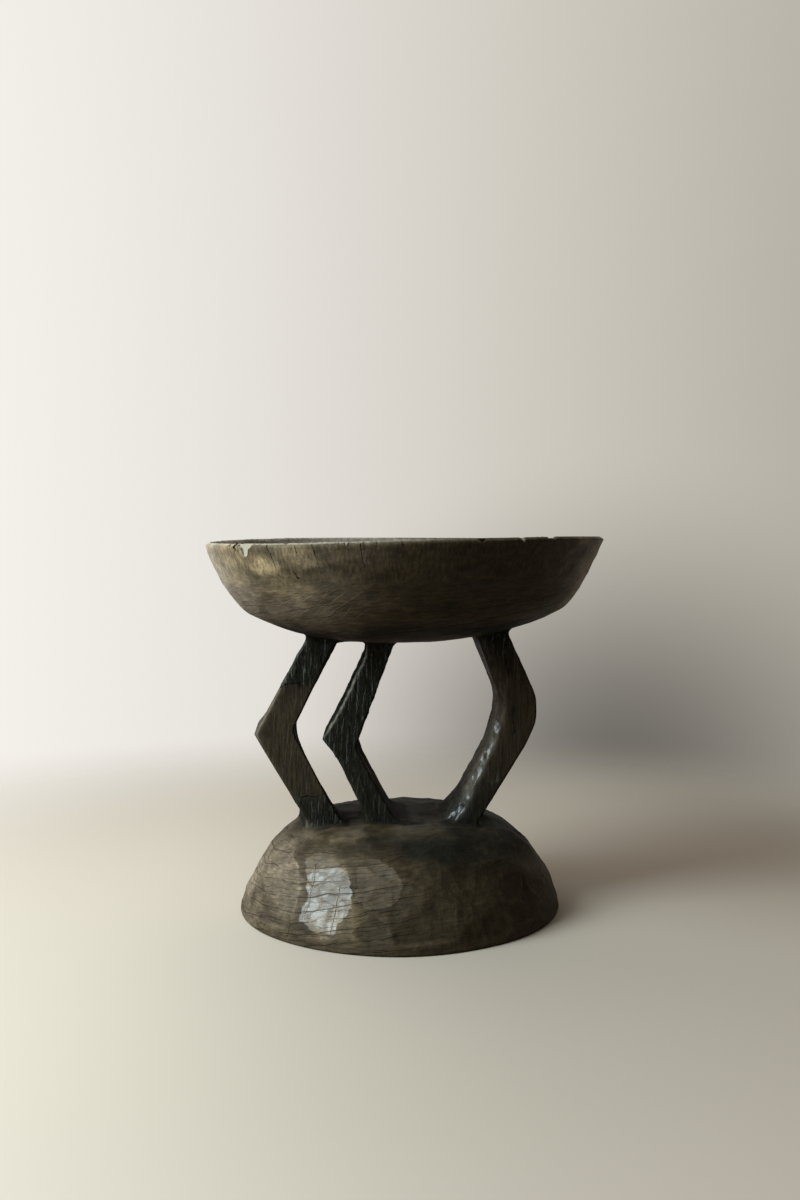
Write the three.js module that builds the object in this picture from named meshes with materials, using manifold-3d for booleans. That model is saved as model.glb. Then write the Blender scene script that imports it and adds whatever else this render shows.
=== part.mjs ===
// A stool carved from one block of wood: a shallow bowl for a seat, three bent planks under it
// that stand side by side in a row, and a low domed base. Millimetres, +Z up. The front faces -Y
// and +X is to the right as the front is looked at. The origin is on the floor under the middle
// of the seat's rim, which is the widest part.

import * as THREE from 'three';
import { mergeVertices } from 'three/addons/utils/BufferGeometryUtils.js';
import Module from 'manifold-3d';

const wasm = await Module();
wasm.setup();

// Seat: a bowl, turned about the Z axis. Heights in the outlines are above SEAT_BOTTOM.
const SEAT_BOTTOM = 260.5;
const SEAT_OUTSIDE = [[0, 0], [60, 2.3], [106, 11.5], [138, 23.5], [157, 35.2], [174, 57.5], [185.4, 80], [192, 95.8]];
const DISH_FLAT_RADIUS = 32;
const SEAT_INSIDE = [[184, 95.4], [172, 71], [151, 51.5], [116, 41], [72, 36], [DISH_FLAT_RADIUS, 35]];
const RIM_TOP = [188, 98.8];
const SEAT_RINGS_OUTSIDE = 13;
const SEAT_RINGS_INSIDE = 11;
const SEAT_LEAN = THREE.MathUtils.degToRad(1);
const SEAT_OVAL = 0.003;

// Height of the rim above its mean, as a wave around the seat: it is highest on the right.
const RIM_WAVE = { cos: 2.24, sin: 1.18, cosTwice: -0.38, sinTwice: -1.59 };
const RIM_FLARE = 0.38;

// Base: a dome with an oval-powered outline, (r / R)^BASE_SIDE + (z / H)^BASE_TOP = 1.
const BASE_RADIUS = 157;
const BASE_HEIGHT = 87.5;
const BASE_SIDE = 5.06;
const BASE_TOP = 1.1;
const BASE_EDGE = 2.5;
const BASE_RINGS = 15;

// The base and the legs sit a little to the left of the seat's centre.
const STAND_X = -3.4;

// Legs: outlines of their front faces, x from the base's centre and z from the floor, with the
// radius of each corner. They run up into the seat and down into the base.
const LEG_FRONT = -40;
const LEG_DEPTH = 80;
const LEG_BEVEL = 2.2;
const LEGS = {
  left: {
    outline: [
      [-82, 278, 0], [-138.3, 172, 0], [-91.8, 90, 0], [-88, 66, 0],
      [-56, 66, 0], [-60.5, 86, 0], [-73, 109, 0], [-106, 169, 14],
      [-61.5, 260.5, 9], [-44, 266, 0], [-44, 278, 0],
    ],
    backShift: { top: 2, foot: -11 },
  },
  middle: {
    outline: [
      [-30, 278, 0], [-33.5, 248, 9], [-73.8, 168, 0], [-61, 149, 12], [-24, 72, 0],
      [18, 72, 0], [18, 86, 0], [-6.5, 90, 14], [-43.5, 162, 12], [-5, 262, 5], [-2, 278, 0],
    ],
    backShift: { top: -3, foot: -3 },
  },
  right: {
    outline: [
      [73, 278, 0], [98.5, 202, 14], [100, 180.5, 14], [57, 99, 8], [40, 86.5, 0], [40, 66, 0],
      [64, 66, 0], [75, 90, 8], [121.5, 167, 16], [128.8, 203, 12], [99, 278, 0],
    ],
    backShift: { top: -3, foot: -3 },
  },
};
const LEG_TOP = 278;
const LEG_FOOT = 66;

// Adze strokes on the turned surfaces: the size of a stroke over the surface, how hollow it is
// cut and how unevenly deep the strokes are.
const SEAT_ADZE = { length: 26, width: 34, hollowLength: 130, hollowWidth: 105, uneven: 0.9, seed: 3 };
const DISH_ADZE = { length: 30, width: 36, hollowLength: 260, hollowWidth: 220, uneven: 0.5, seed: 11 };
const BASE_ADZE = { length: 27, width: 30, hollowLength: 120, hollowWidth: 95, uneven: 0.9, seed: 7 };

// Chips out of the rim, by their angle from +X in degrees: their width along the rim at the top
// and at the bottom, and their height.
const CHIPS = [
  { angle: -137, top: 15, bottom: 7, height: 11.5 },
  { angle: -106, top: 4.5, bottom: 3, height: 4.5 },
  { angle: -70, top: 8, bottom: 3, height: 3.6 },
  { angle: -58.5, top: 6, bottom: 1, height: 4.6 },
  { angle: -48, top: 12, bottom: 7, height: 2.6 },
];
const CHIP_INNER_RADIUS = 187.5;
const CHIP_REACH = 12;
const CHIP_OVERSHOOT = 1;

// Gouge strokes down the planks' front faces, in groups: how many lie side by side and their
// reach in height. They stay this far off a face's edges.
const GOUGE = { width: 5, depth: 1.2 };
const GOUGE_MARGIN = 3;
const GOUGED = [
  { leg: 'left', count: 5, from: 218, to: 256 },
  { leg: 'left', count: 5, from: 92, to: 108 },
  { leg: 'middle', count: 5, from: 172, to: 254 },
  { leg: 'middle', count: 4, from: 102, to: 164 },
  { leg: 'right', count: 5, from: 226, to: 262 },
];

// The strokes fade within this distance of a turned shape's pole, and a stroke's mean hollow is
// this share of its width squared over its hollow's radius.
const POLE_FADE = 45;
const MEAN_HOLLOW = 0.06;

const SEGMENTS = 76;
const TURN = Math.PI * 2;

// A repeatable number between 0 and 1 for a pair of counts.
function scatter(i, j, seed) {
  const wave = Math.sin(i * 127.1 + j * 311.7 + seed * 74.7) * 43758.5453;
  return wave - Math.floor(wave);
}

// A closed manifold from a geometry: equal corners are joined, and the triangles that shrink to a
// line at a turned shape's poles are dropped.
function toManifold(geometry) {
  const bare = geometry.clone();
  bare.deleteAttribute('normal');
  bare.deleteAttribute('uv');
  const merged = mergeVertices(bare, 1e-4);
  const corners = [];
  for (let i = 0; i < merged.index.count; i += 3) {
    const [a, b, c] = merged.index.array.slice(i, i + 3);
    if (a !== b && b !== c && c !== a) {
      corners.push(a, b, c);
    }
  }
  return new wasm.Manifold(new wasm.Mesh({
    numProp: 3,
    vertProperties: new Float32Array(merged.attributes.position.array),
    triVerts: new Uint32Array(corners),
  }));
}

function toGeometry(manifold) {
  const mesh = manifold.getMesh();
  const geometry = new THREE.BufferGeometry();
  geometry.setAttribute('position', new THREE.BufferAttribute(mesh.vertProperties, 3));
  geometry.setIndex(new THREE.BufferAttribute(mesh.triVerts, 1));
  geometry.computeVertexNormals();
  return geometry;
}

const toVectors = (pairs) => pairs.map(([x, y]) => new THREE.Vector2(x, y));
const evenly = (points, count) => new THREE.SplineCurve(points).getSpacedPoints(count);

// Adze strokes over a surface of revolution, laid in rows along its outline.
function strokesOver(outline, adze) {
  const strokes = [];
  const run = [0];
  for (let k = 1; k < outline.length; k += 1) {
    run.push(run[k - 1] + outline[k].distanceTo(outline[k - 1]));
  }
  const rows = Math.round(run[run.length - 1] / adze.length);
  for (let row = 0; row < rows; row += 1) {
    const along = (row + 0.5) * adze.length;
    const k = Math.max(1, run.findIndex((value) => value >= along));
    const around = Math.max(3, Math.round((TURN * outline[k].x) / adze.width));
    for (let i = 0; i < around; i += 1) {
      strokes.push({
        angle: ((i + 0.9 * scatter(i, row, adze.seed) + 0.5 * (row % 2)) / around) * TURN,
        along: along + (scatter(i, row, adze.seed + 1) - 0.5) * 0.7 * adze.length,
        height: (scatter(i, row, adze.seed + 2) - 0.5) * adze.uneven,
      });
    }
  }
  return { strokes, run };
}

// How far the carved surface stands out from the smooth one: the lowest of the hollow strokes.
function carvedHeight(cuts, adze, angle, radius, along) {
  let lowest = Infinity;
  for (const stroke of cuts.strokes) {
    const turn = Math.abs(((angle - stroke.angle) % TURN + TURN * 1.5) % TURN - Math.PI);
    const aside = turn * radius;
    const ahead = along - stroke.along;
    const height = stroke.height
      + (aside * aside) / (2 * adze.hollowWidth) + (ahead * ahead) / (2 * adze.hollowLength);
    lowest = Math.min(lowest, height);
  }
  const mean = (adze.width * adze.width * MEAN_HOLLOW) / adze.hollowWidth;
  return (lowest - mean) * Math.min(1, radius / POLE_FADE);
}

// A closed turned solid whose outline runs in stretches: a stretch with an adze is carved.
function turnedSolid(stretches) {
  const outline = stretches.flatMap((stretch) => stretch.points);
  const geometry = new THREE.LatheGeometry(outline, SEGMENTS);
  geometry.rotateX(Math.PI / 2);
  const { position, normal } = geometry.attributes;
  const point = new THREE.Vector3();
  const outward = new THREE.Vector3();
  let first = 0;
  for (const { points, adze, keepStart = 0, keepEnd = 0 } of stretches) {
    const cuts = adze && strokesOver(points, adze);
    for (let k = keepStart; adze && k < points.length - keepEnd; k += 1) {
      for (let turn = 0; turn < SEGMENTS; turn += 1) {
        const v = turn * outline.length + first + k;
        point.fromBufferAttribute(position, v);
        outward.fromBufferAttribute(normal, v);
        const angle = Math.atan2(point.y, point.x);
        point.addScaledVector(outward, carvedHeight(cuts, adze, angle, points[k].x, cuts.run[k]));
        position.setXYZ(v, point.x, point.y, point.z);
      }
      const seam = first + k;
      const last = SEGMENTS * outline.length + seam;
      position.setXYZ(last, position.getX(seam), position.getY(seam), position.getZ(seam));
    }
    first += points.length;
  }
  return geometry;
}

function reshape(geometry, place) {
  const position = geometry.attributes.position;
  const point = new THREE.Vector3();
  for (let i = 0; i < position.count; i += 1) {
    point.fromBufferAttribute(position, i);
    place(point);
    position.setXYZ(i, point.x, point.y, point.z);
  }
  return geometry;
}

function rimLift(angle) {
  return RIM_WAVE.cos * Math.cos(angle) + RIM_WAVE.sin * Math.sin(angle)
    + RIM_WAVE.cosTwice * Math.cos(2 * angle) + RIM_WAVE.sinTwice * Math.sin(2 * angle);
}

// The bowl: leaned to the left, out of round, and with a wavy rim.
function seat() {
  const rim = new THREE.Vector2(...RIM_TOP);
  const geometry = turnedSolid([
    {
      points: evenly(toVectors(SEAT_OUTSIDE), SEAT_RINGS_OUTSIDE),
      adze: SEAT_ADZE, keepStart: 1, keepEnd: 1,
    },
    { points: [rim] },
    {
      points: evenly(toVectors(SEAT_INSIDE), SEAT_RINGS_INSIDE),
      adze: DISH_ADZE, keepStart: 1, keepEnd: 2,
    },
    { points: [new THREE.Vector2(0, SEAT_INSIDE.at(-1)[1])] },
  ]);
  return reshape(geometry, (p) => {
    const angle = Math.atan2(p.y, p.x);
    const up = Math.min(1, Math.max(0, p.z / RIM_TOP[1]));
    const oval = 1 + SEAT_OVAL * Math.cos(2 * angle) * up;
    const high = Math.max(0, 2 * up - 1) ** 2;
    const leans = Math.hypot(p.x, p.y) > DISH_FLAT_RADIUS + 1 || up < 0.2;
    const crest = rimLift(angle) * high;
    const tilt = leans ? p.x * Math.tan(SEAT_LEAN) * (1 - high) : 0;
    const flare = oval + (RIM_FLARE * crest) / RIM_TOP[0];
    p.set(p.x * flare, p.y * flare, p.z + SEAT_BOTTOM + crest + tilt);
  });
}

// The base: a dome that is flat below, with a narrow rounded edge at the floor.
function base() {
  const dome = [];
  for (let k = 0; k <= 200; k += 1) {
    const t = (k / 200) * (Math.PI / 2);
    dome.push(new THREE.Vector2(
      BASE_RADIUS * Math.sin(t) ** (2 / BASE_SIDE),
      BASE_HEIGHT * Math.cos(t) ** (2 / BASE_TOP),
    ));
  }
  const outside = dome.filter((p) => p.y >= BASE_EDGE);
  const points = evenly([...outside, new THREE.Vector2(BASE_RADIUS - 0.5, BASE_EDGE)], BASE_RINGS);
  const geometry = turnedSolid([
    { points: [new THREE.Vector2(0, 0), new THREE.Vector2(BASE_RADIUS - BASE_EDGE - 1, 0)] },
    { points: points.reverse(), adze: BASE_ADZE, keepStart: 1, keepEnd: 1 },
  ]);
  return geometry.translate(STAND_X, 0, 0);
}

// A closed outline with rounded corners, from [x, z, radius] corners.
function roundedShape(corners) {
  const shape = new THREE.Shape();
  const at = (k) => new THREE.Vector2(...corners[(k + corners.length) % corners.length]);
  corners.forEach(([, , radius], k) => {
    const here = at(k);
    const before = at(k - 1).sub(here);
    const after = at(k + 1).sub(here);
    const bend = Math.acos(before.dot(after) / (before.length() * after.length()));
    const reach = Math.min(radius / Math.tan(bend / 2), 0.45 * before.length(), 0.45 * after.length());
    const start = here.clone().addScaledVector(before.normalize(), reach);
    const end = here.clone().addScaledVector(after.normalize(), reach);
    if (k === 0) {
      shape.moveTo(start.x, start.y);
    } else {
      shape.lineTo(start.x, start.y);
    }
    if (radius > 0) {
      shape.quadraticCurveTo(here.x, here.y, end.x, end.y);
    }
  });
  return shape;
}

// A plank: its outline carried back from the front face, drifting to one side on the way.
function plank({ outline, backShift }) {
  const geometry = new THREE.ExtrudeGeometry(roundedShape(outline), {
    depth: LEG_DEPTH - 2 * LEG_BEVEL,
    curveSegments: 3,
    bevelThickness: LEG_BEVEL,
    bevelSize: LEG_BEVEL,
    bevelOffset: -LEG_BEVEL,
    bevelSegments: 1,
  });
  geometry.rotateX(Math.PI / 2);
  geometry.translate(0, LEG_FRONT + LEG_DEPTH - LEG_BEVEL, 0);
  return reshape(geometry, (p) => {
    const back = (p.y - LEG_FRONT) / LEG_DEPTH;
    const up = (p.z - LEG_FOOT) / (LEG_TOP - LEG_FOOT);
    p.x += STAND_X + back * THREE.MathUtils.lerp(backShift.foot, backShift.top, up);
  });
}

// Where a level line at height z crosses a leg's front outline: its left and right edge.
function widthAt(outline, z) {
  const crossings = [];
  outline.forEach(([x, height], k) => {
    const [nextX, nextHeight] = outline[(k + 1) % outline.length];
    if ((height - z) * (nextHeight - z) < 0) {
      crossings.push(x + ((z - height) / (nextHeight - height)) * (nextX - x));
    }
  });
  return [Math.min(...crossings), Math.max(...crossings)];
}

// One gouge stroke: a long three-sided prism laid along the face from its upper to its lower end.
function gougeStroke(upper, lower, width, depth) {
  const section = new THREE.Shape(toVectors([[-width / 2, depth], [width / 2, depth], [0, -depth]]));
  const run = new THREE.Vector3().subVectors(lower, upper);
  const geometry = new THREE.ExtrudeGeometry(section, { depth: run.length(), bevelEnabled: false });
  const side = new THREE.Vector3().crossVectors(run, new THREE.Vector3(0, 1, 0)).normalize();
  const frame = new THREE.Matrix4().makeBasis(side, new THREE.Vector3(0, -1, 0), run.normalize());
  frame.setPosition(upper);
  return geometry.applyMatrix4(frame);
}

function gougesOn({ leg, count, from, to }, group) {
  const { outline } = LEGS[leg];
  const strokes = [];
  for (let i = 0; i < count; i += 1) {
    const share = (i + 0.35 + 0.3 * scatter(i, group, 5)) / count;
    const top = to - (to - from) * 0.25 * scatter(i, group, 6);
    const bottom = from + (to - from) * 0.25 * scatter(i, group, 8);
    const [upper, lower] = [top, bottom].map((z) => {
      const [low, high] = widthAt(outline, z);
      const across = low + GOUGE_MARGIN + (high - low - 2 * GOUGE_MARGIN) * share;
      return new THREE.Vector3(STAND_X + across, LEG_FRONT, z);
    });
    strokes.push(gougeStroke(upper, lower, GOUGE.width, GOUGE.depth));
  }
  return strokes;
}

// A chip: a block with a narrower foot, laid across the rim from outside.
function chip({ angle, top, bottom, height }) {
  const turn = THREE.MathUtils.degToRad(angle);
  const crest = SEAT_BOTTOM + RIM_TOP[1] + rimLift(turn) + CHIP_OVERSHOOT;
  const section = new THREE.Shape(toVectors([
    [-top / 2, CHIP_OVERSHOOT], [-bottom / 2, -height],
    [bottom / 2, -height], [top / 2, CHIP_OVERSHOOT],
  ]));
  const geometry = new THREE.ExtrudeGeometry(section, { depth: CHIP_REACH, bevelEnabled: false });
  geometry.rotateX(Math.PI / 2);
  geometry.translate(0, CHIP_REACH, 0);
  geometry.rotateZ(turn - Math.PI / 2);
  const out = new THREE.Vector2(1, 0).rotateAround(new THREE.Vector2(), turn);
  return geometry.translate(out.x * CHIP_INNER_RADIUS, out.y * CHIP_INNER_RADIUS, crest);
}

function carvedStool() {
  const planks = Object.values(LEGS).map((leg) => toManifold(plank(leg)));
  let wood = toManifold(seat()).add(toManifold(base()));
  for (const leg of planks) {
    wood = wood.add(leg);
  }
  const cuts = [...CHIPS.map(chip), ...GOUGED.flatMap(gougesOn)];
  for (const cut of cuts) {
    wood = wood.subtract(toManifold(cut));
  }
  return toGeometry(wood);
}

const darkWood = new THREE.MeshStandardMaterial({ color: 0x3a2f22, roughness: 0.55, metalness: 0 });

const stool = new THREE.Group();
const carving = new THREE.Mesh(carvedStool(), darkWood);
carving.name = 'stool';
stool.add(carving);

export default stool;
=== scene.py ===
"""A stool carved from one block of wood: a shallow bowl on three bent planks over a domed base.

The forms are worked out as one distance field, so they run into each other as in one block. The
field becomes a mesh, Geometry Nodes cut the adze and gouge strokes into it, and cracks, slits and
chips are then cut out. Lengths in the outlines are in millimetres, as the solid's are.
"""

import math

import bpy
import numpy as np
import openvdb
from bpy.props import FloatProperty, FloatVectorProperty, IntProperty, PointerProperty
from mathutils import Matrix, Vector
from mathutils.bvhtree import BVHTree


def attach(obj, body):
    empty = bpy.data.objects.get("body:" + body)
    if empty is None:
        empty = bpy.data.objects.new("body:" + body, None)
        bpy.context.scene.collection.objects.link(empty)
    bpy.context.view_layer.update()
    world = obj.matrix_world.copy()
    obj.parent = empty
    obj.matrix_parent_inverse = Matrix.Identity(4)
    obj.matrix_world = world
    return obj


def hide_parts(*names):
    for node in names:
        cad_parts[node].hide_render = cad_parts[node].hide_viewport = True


bl_info = {
    "name": "Carved Stool",
    "version": (1, 0, 0),
    "blender": (4, 5, 0),
    "location": "3D View > Sidebar > Stool",
    "description": "Carves a one-piece wooden stool and sets it on a pale floor",
    "category": "Object",
}

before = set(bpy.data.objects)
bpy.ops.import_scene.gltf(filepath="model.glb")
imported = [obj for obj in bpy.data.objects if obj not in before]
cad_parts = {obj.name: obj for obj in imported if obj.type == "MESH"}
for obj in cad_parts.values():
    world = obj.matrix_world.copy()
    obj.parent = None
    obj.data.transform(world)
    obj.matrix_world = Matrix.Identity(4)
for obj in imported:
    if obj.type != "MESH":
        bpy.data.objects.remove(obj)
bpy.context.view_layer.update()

MM = 0.001

# A painted shadow in the backdrop: where the air is darkest to the camera, and how far that reaches: both as
# directions.
BACKDROP_SHADOW_PLACE = (0.18, 0, -0.19)
BACKDROP_SHADOW_REACH = (0.25, 1e6, 0.22)

# Seat: the turned outlines of the bowl, as radius and height above its lowest point.
SEAT_OUTSIDE = [(0, 0), (60, 2.3), (106, 11.5), (138, 23.5), (157, 35.2), (174, 57.5), (185.4, 80), (192, 95.8)]
SEAT_INSIDE = [(184, 95.4), (172, 71), (151, 51.5), (116, 41), (72, 36), (32, 35)]
RIM_TOP = (188, 98.8)
RIM_WAVE = (2.24, 1.18, -0.38, -1.59)
RIM_FLARE = 0.38
RIGHT_BELLY = 0.028
DISH_FLAT_RADIUS = 33

# Legs: the front faces' outlines, as x from the base's centre, z from the floor and the radius of
# the corner. Then the rear face's shift along x and the left front edge's bevel, up the leg: height
# and size.
LEGS = {
    "left": ([
        (-82, 278, 0), (-112.4, 222, 60), (-139.3, 172.6, 0), (-89.6, 90, 0), (-87, 66, 0), (-50, 66, 0),
        (-55, 88, 0),
        (-68.4, 111, 0), (-99.6, 170.5, 5), (-101.6, 178, 5), (-61.5, 260.5, 9), (-44, 266, 0), (-44, 278, 0),
    ], [(66, -15), (100, -14.5), (145, -14), (160, -11), (172, -5.5), (184, -2.5), (215, -1), (278, 2)],
        [(66, 0), (150, 0.5), (172, 2.2), (215, 1.2), (278, 0.5)]),
    "middle": ([
        (-30, 278, 0), (-33.5, 248, 9), (-56.3, 200, 40), (-74.6, 168, 0), (-59.4, 149, 12), (-22.6, 72, 0),
        (18, 72, 0),
        (18, 86, 0), (-4.4, 90, 14), (-42, 161, 12), (-5, 262, 5), (-2, 278, 0),
    ], [(66, -5), (120, -5.5), (145, -5.5), (158, -2.5), (172, -0.5), (190, -1.5), (278, -3)],
        [(66, 0), (164, 0.4), (178, 1.5), (235, 1.8), (262, 1.2)]),
    "right": ([
        (69.5, 278, 0), (88.5, 225, 60), (94, 207, 60), (91.6, 190, 60), (80.6, 159, 60), (65.2, 128, 0),
        (56.6, 105, 20), (42, 88, 10), (39, 66, 0), (64, 66, 0), (76.2, 90, 8), (120.2, 163, 50),
        (130.2, 185, 40), (130, 209, 30), (99.5, 278, 0),
    ], [(66, -3), (95, -1.5), (115, 2.2), (135, 5.2), (155, 5.2), (175, 4), (195, 2.2), (225, -1), (278, -4)],
        [(66, 8), (110, 7.5), (160, 7.5), (190, 8), (222, 7), (278, 3)]),
}
LEG_HEIGHTS = (74, 276)

# How deep the gouge strokes go, and how dark the wood is, up each leg: height and share.
LEG_GOUGING = {
    "left": [(85, 0.4), (105, 0.6), (113, 0.12), (217, 0.12), (222, 0.65), (260, 0.6)],
    "middle": [(85, 0.25), (120, 0.4), (150, 0.75), (162, 0.25), (176, 0.25), (192, 0.75), (260, 0.7)],
    "right": [(85, 0.2), (180, 0.12), (225, 0.2), (245, 0.5), (260, 0.5)],
}
LEG_DARKNESS = {
    "left": [(80, 0.85), (108, 0.75), (118, 0.5), (150, 0.34), (190, 0.22), (214, 0.3), (224, 0.75), (265, 0.75)],
    "middle": [(80, 1.0), (100, 0.95), (130, 0.85), (165, 0.95), (265, 1.0)],
    "right": [(80, 0.9), (105, 0.75), (150, 0.42), (205, 0.34), (235, 0.38), (265, 0.44)],
}

# Drying cracks on the bowl and the base: points from end to end, and the widest opening.
CRACKS = [
    ([(-147, -125, 356), (-145.3, -120.8, 348.5), (-142, -119.8, 340.6), (-139.6, -118.2, 332.7)], 0.8),
    ([(-118, -149, 356), (-113.2, -149.7, 346.3), (-109.3, -147.1, 336), (-107, -144.5, 328.3)], 1.1),
    ([(-93.3, -166, 357), (-90.9, -166.2, 350.7), (-89, -164.2, 344.8)], 0.8),
    ([(-94, -155.2, 332.8), (-91.6, -154.7, 329.4), (-89.9, -154.3, 326.9)], 1.0),
    ([(-77.5, -174, 357), (-74.1, -172.8, 346.6), (-71.5, -169.5, 338), (-69.6, -166.7, 329.8)], 0.9),
    ([(-36.2, -187, 357), (-35, -184.6, 348.4), (-33.6, -181, 340), (-32.4, -177.5, 331.8)], 1.0),
    ([(-79.8, -96.2, 62.8), (-81.7, -108.1, 52.5), (-85.6, -116.7, 36.9), (-89.5, -124, 19.4)], 0.9),
    ([(-57.6, -121.4, 51.9), (-59.8, -130.5, 36.8), (-63, -138.3, 18.8), (-65, -140, 3)], 0.9),
    ([(-99.8, -118.7, 14.9), (-100.7, -119.7, 0.7)], 0.9),
    ([(-122, -96, 12.8), (-123.7, -97.9, 1.4)], 0.8),
    ([(-119, -40, 218.2), (-110, -40, 221.5), (-98, -40, 222.6), (-87, -40, 227)], 1.1),
    ([(-99.5, -40, 111.6), (-92, -40, 113.6), (-85, -40, 112.6), (-77, -40, 115.4)], 1.3),
    ([(-44, -40, 236), (-47, -40, 206), (-50, -40, 188)], 0.9), ([(-28, -40, 252), (-31, -40, 224)], 0.8),
    ([(-52, -40, 180), (-50, -40, 158), (-45, -40, 142)], 0.9), ([(-60, -40, 172), (-57, -40, 152)], 0.8),
    ([(-36, -40, 200), (-39, -40, 176), (-38, -40, 160)], 0.8), ([(-41, -40, 132), (-34, -40, 112)], 0.8),
    ([(96, -40, 250), (100, -40, 232)], 0.8), ([(104, -40, 196), (106, -40, 176)], 0.6),
]
CRACK_DEPTH = 2.2
INNER_FACE_GOUGING = 0.7

# How strongly chisel lines catch the light, up each leg; and on each leg's bevel, its heights, how much dust
# and painted highlight it has, and how polished.
CHISEL_LINES = {
    "left": [(85, 0.7), (108, 0.8), (116, 0.4), (216, 0.35), (222, 1.0), (260, 1.0)],
    "middle": [(85, 0.35), (115, 0.45), (140, 0.9), (260, 0.9)],
    "right": [(85, 0.2), (215, 0.12), (230, 0.7), (260, 1.0)],
}
BEVEL_WEAR = {
    "left": ((161, 169), (232, 214), 1.0, 0.13, 0.1),
    "middle": ((168, 176), (264, 246), 1.0, 0.24, 0.15),
    "right": ((82, 96), (222, 150), 3.0, 0.1, 0.66),
}
GOUGE_LIE = {"left": (18, 0.0), "middle": (34, 0.2), "right": (34, 0.0)}

# Slits sawn or split into the rim, by the angle from +X in degrees: width and height.
SLITS = [(-82.2, 0.9, 4.5), (-78.7, 0.7, 3.0), (-66.6, 1.0, 4.6), (-104.0, 1.2, 4.0), (-43.0, 0.9, 3.6)]

# Chips out of the rim, by the angle from +X: outline across and down, and the radius behind which
# the wood still stands. The first ones are fresh and pale.
FRESH_CHIPS = [
    (-137.0, [(-11, 1.5), (-10, -2.5), (-6.5, -3.8), (-5.2, -7), (-4.6, -10.2), (-1.8, -12), (1.5, -10.6),
              (4, -7.4), (5.5, -5), (9.5, -3.4), (11.5, 1.5)], 187.0),
    (-106.6, [(-1.0, 1.5), (-0.8, -5.8), (0.7, -5.8), (1.0, 1.5)], 187.2),
    (-104.9, [(-1.8, 1.5), (-1.3, -5.2), (-0.2, -3.4), (0.4, -6.0), (1.1, -4.2), (1.8, 1.5)], 187.2),
    (-100.2, [(-0.8, 1.5), (-0.6, -1.6), (0.6, -1.6), (0.8, 1.5)], 187.2),
    (-96.8, [(-0.7, 1.5), (-0.5, -4.4), (0.5, -4.4), (0.7, 1.5)], 187.4),
    (-90.5, [(-0.7, 1.5), (-0.5, -3.8), (0.5, -3.8), (0.7, 1.5)], 187.4),
]
OLD_CHIPS = [
    (-141.6, [(-2.6, 1.5), (-2.2, -4.2), (0.2, -6.4), (1.6, -4.8), (2.2, 1.5)], 184.5),
    (-70.0, [(-4.4, 1.5), (-3.2, -2.6), (0.6, -3.6), (3.0, -2.2), (4.2, 1.5)], 187.5),
    (-58.3, [(-4.2, 1.5), (-2.2, -1.8), (0.3, -5.4), (1.6, -2.6), (4.4, 1.5)], 182.0),
    (-48.0, [(-6.4, 1.5), (-5.0, -2.0), (0.0, -2.8), (4.6, -1.7), (6.2, 1.5)], 186.5),
    (-144.5, [(-2.6, 1.5), (-2.0, -1.4), (1.4, -3.2), (2.6, 1.5)], 187.4),
    (-122.0, [(-3.0, 1.5), (-2.0, -1.0), (1.4, -1.3), (2.8, 1.5)], 184.0),
]
RIM_REACH = 14

# Flats that the adze left on the base: the way each faces, around from +X and up, and its depth.
FLATS = [(-118.3, 31, 2.9), (-97, 33, 2.4), (-140, 28, 1.6), (-80, 22, 1.4), (-112, 58, 1.6), (-150, 42, 1.4),
         (-64, 36, 2.0), (-40, 26, 2.2), (-20, 42, 1.6), (-175, 24, 1.4), (-92, 62, 1.4), (-50, 58, 1.6)]
FLATS_BEHIND = 15
FLATS_LOWEST = 14
FOOT_BULGE = (-118, 0.023)
FLAT_EDGE = 4.0

# Stains, worn places and places of painted light, shade and highlight: centre, reach along x, y and z, and strength.
# Dark stains; the one beside the middle leg's foot is partly a painted shadow.
DARK_STAINS_AND_SHADOWS = [
    ((22, -94, 76), (50, 26, 15), 1.0), ((-16, -90, 80), (44, 20, 11), 0.7), ((62, -68, 82), (34, 20, 12), 0.35),
    ((-83, -42, 92), (22, 10, 9), 0.5), ((8, -42, 94), (26, 12, 14), 0.85),
    ((48, -30, 98), (22, 24, 18), 0.9), ((-75, -20, 262), (30, 40, 16), 0.9),
    ((-20, -20, 262), (30, 40, 14), 0.9), ((88, -20, 266), (34, 40, 20), 1.0),
    ((40, -160, 300), (10, 20, 8), 0.5), ((-60, 60, 84), (30, 24, 12), 0.5),
]
OLIVE_WEAR = [
    ((-122, -137, 337), (21, 18, 11), 1.0), ((-152, -104, 345), (26, 34, 12), 0.5),
    ((-84, -160, 344), (30, 14, 12), 0.4), ((-150, -98, 326), (20, 30, 16), 0.35),
    ((-100, -138, 318), (34, 26, 14), 0.3), ((130, 120, 336), (30, 30, 14), 0.5),
    ((-128, 128, 334), (36, 30, 16), 0.4), ((-62, -140, 24), (30, 30, 20), 0.2),
]
# Paler places: partly greyed wood, mostly painted light on the side facing the lamp, and painted bounce light under
# the bowl and on its right.
PALE_AND_LIT = [
    ((-182, -20, 338), (44, 120, 40), 1.0), ((-150, -70, 306), (60, 90, 34), 0.5),
    ((-96, -112, 294), (64, 60, 24), 0.42), ((-60, -150, 312), (56, 44, 36), 0.14),
    ((-156, -20, 34), (36, 100, 44), 0.52), ((-70, -158, 346), (74, 44, 18), 0.16),
    ((-124, -74, 56), (30, 50, 34), 0.4), ((-104, -94, 34), (34, 44, 34), 0.3),
    ((-96, -56, 84), (30, 30, 8), 0.36), ((-62, -76, 86), (30, 24, 8), 0.18),
    ((-70, -100, 64), (40, 26, 12), 0.25), ((60, 150, 40), (50, 30, 30), 0.4),
    ((0, -50, 262), (80, 50, 10), 0.12), ((40, 170, 330), (60, 34, 26), 0.3), ((188, -30, 326), (48, 110, 60), 0.75),
]
# Adze arcs on the bowl, drawn as a painted highlight and a bump: centre, reach along x, y and z, and strength.
ARCS = ((-72, -150, 302), (52, 44, 17), 1.0)
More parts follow.
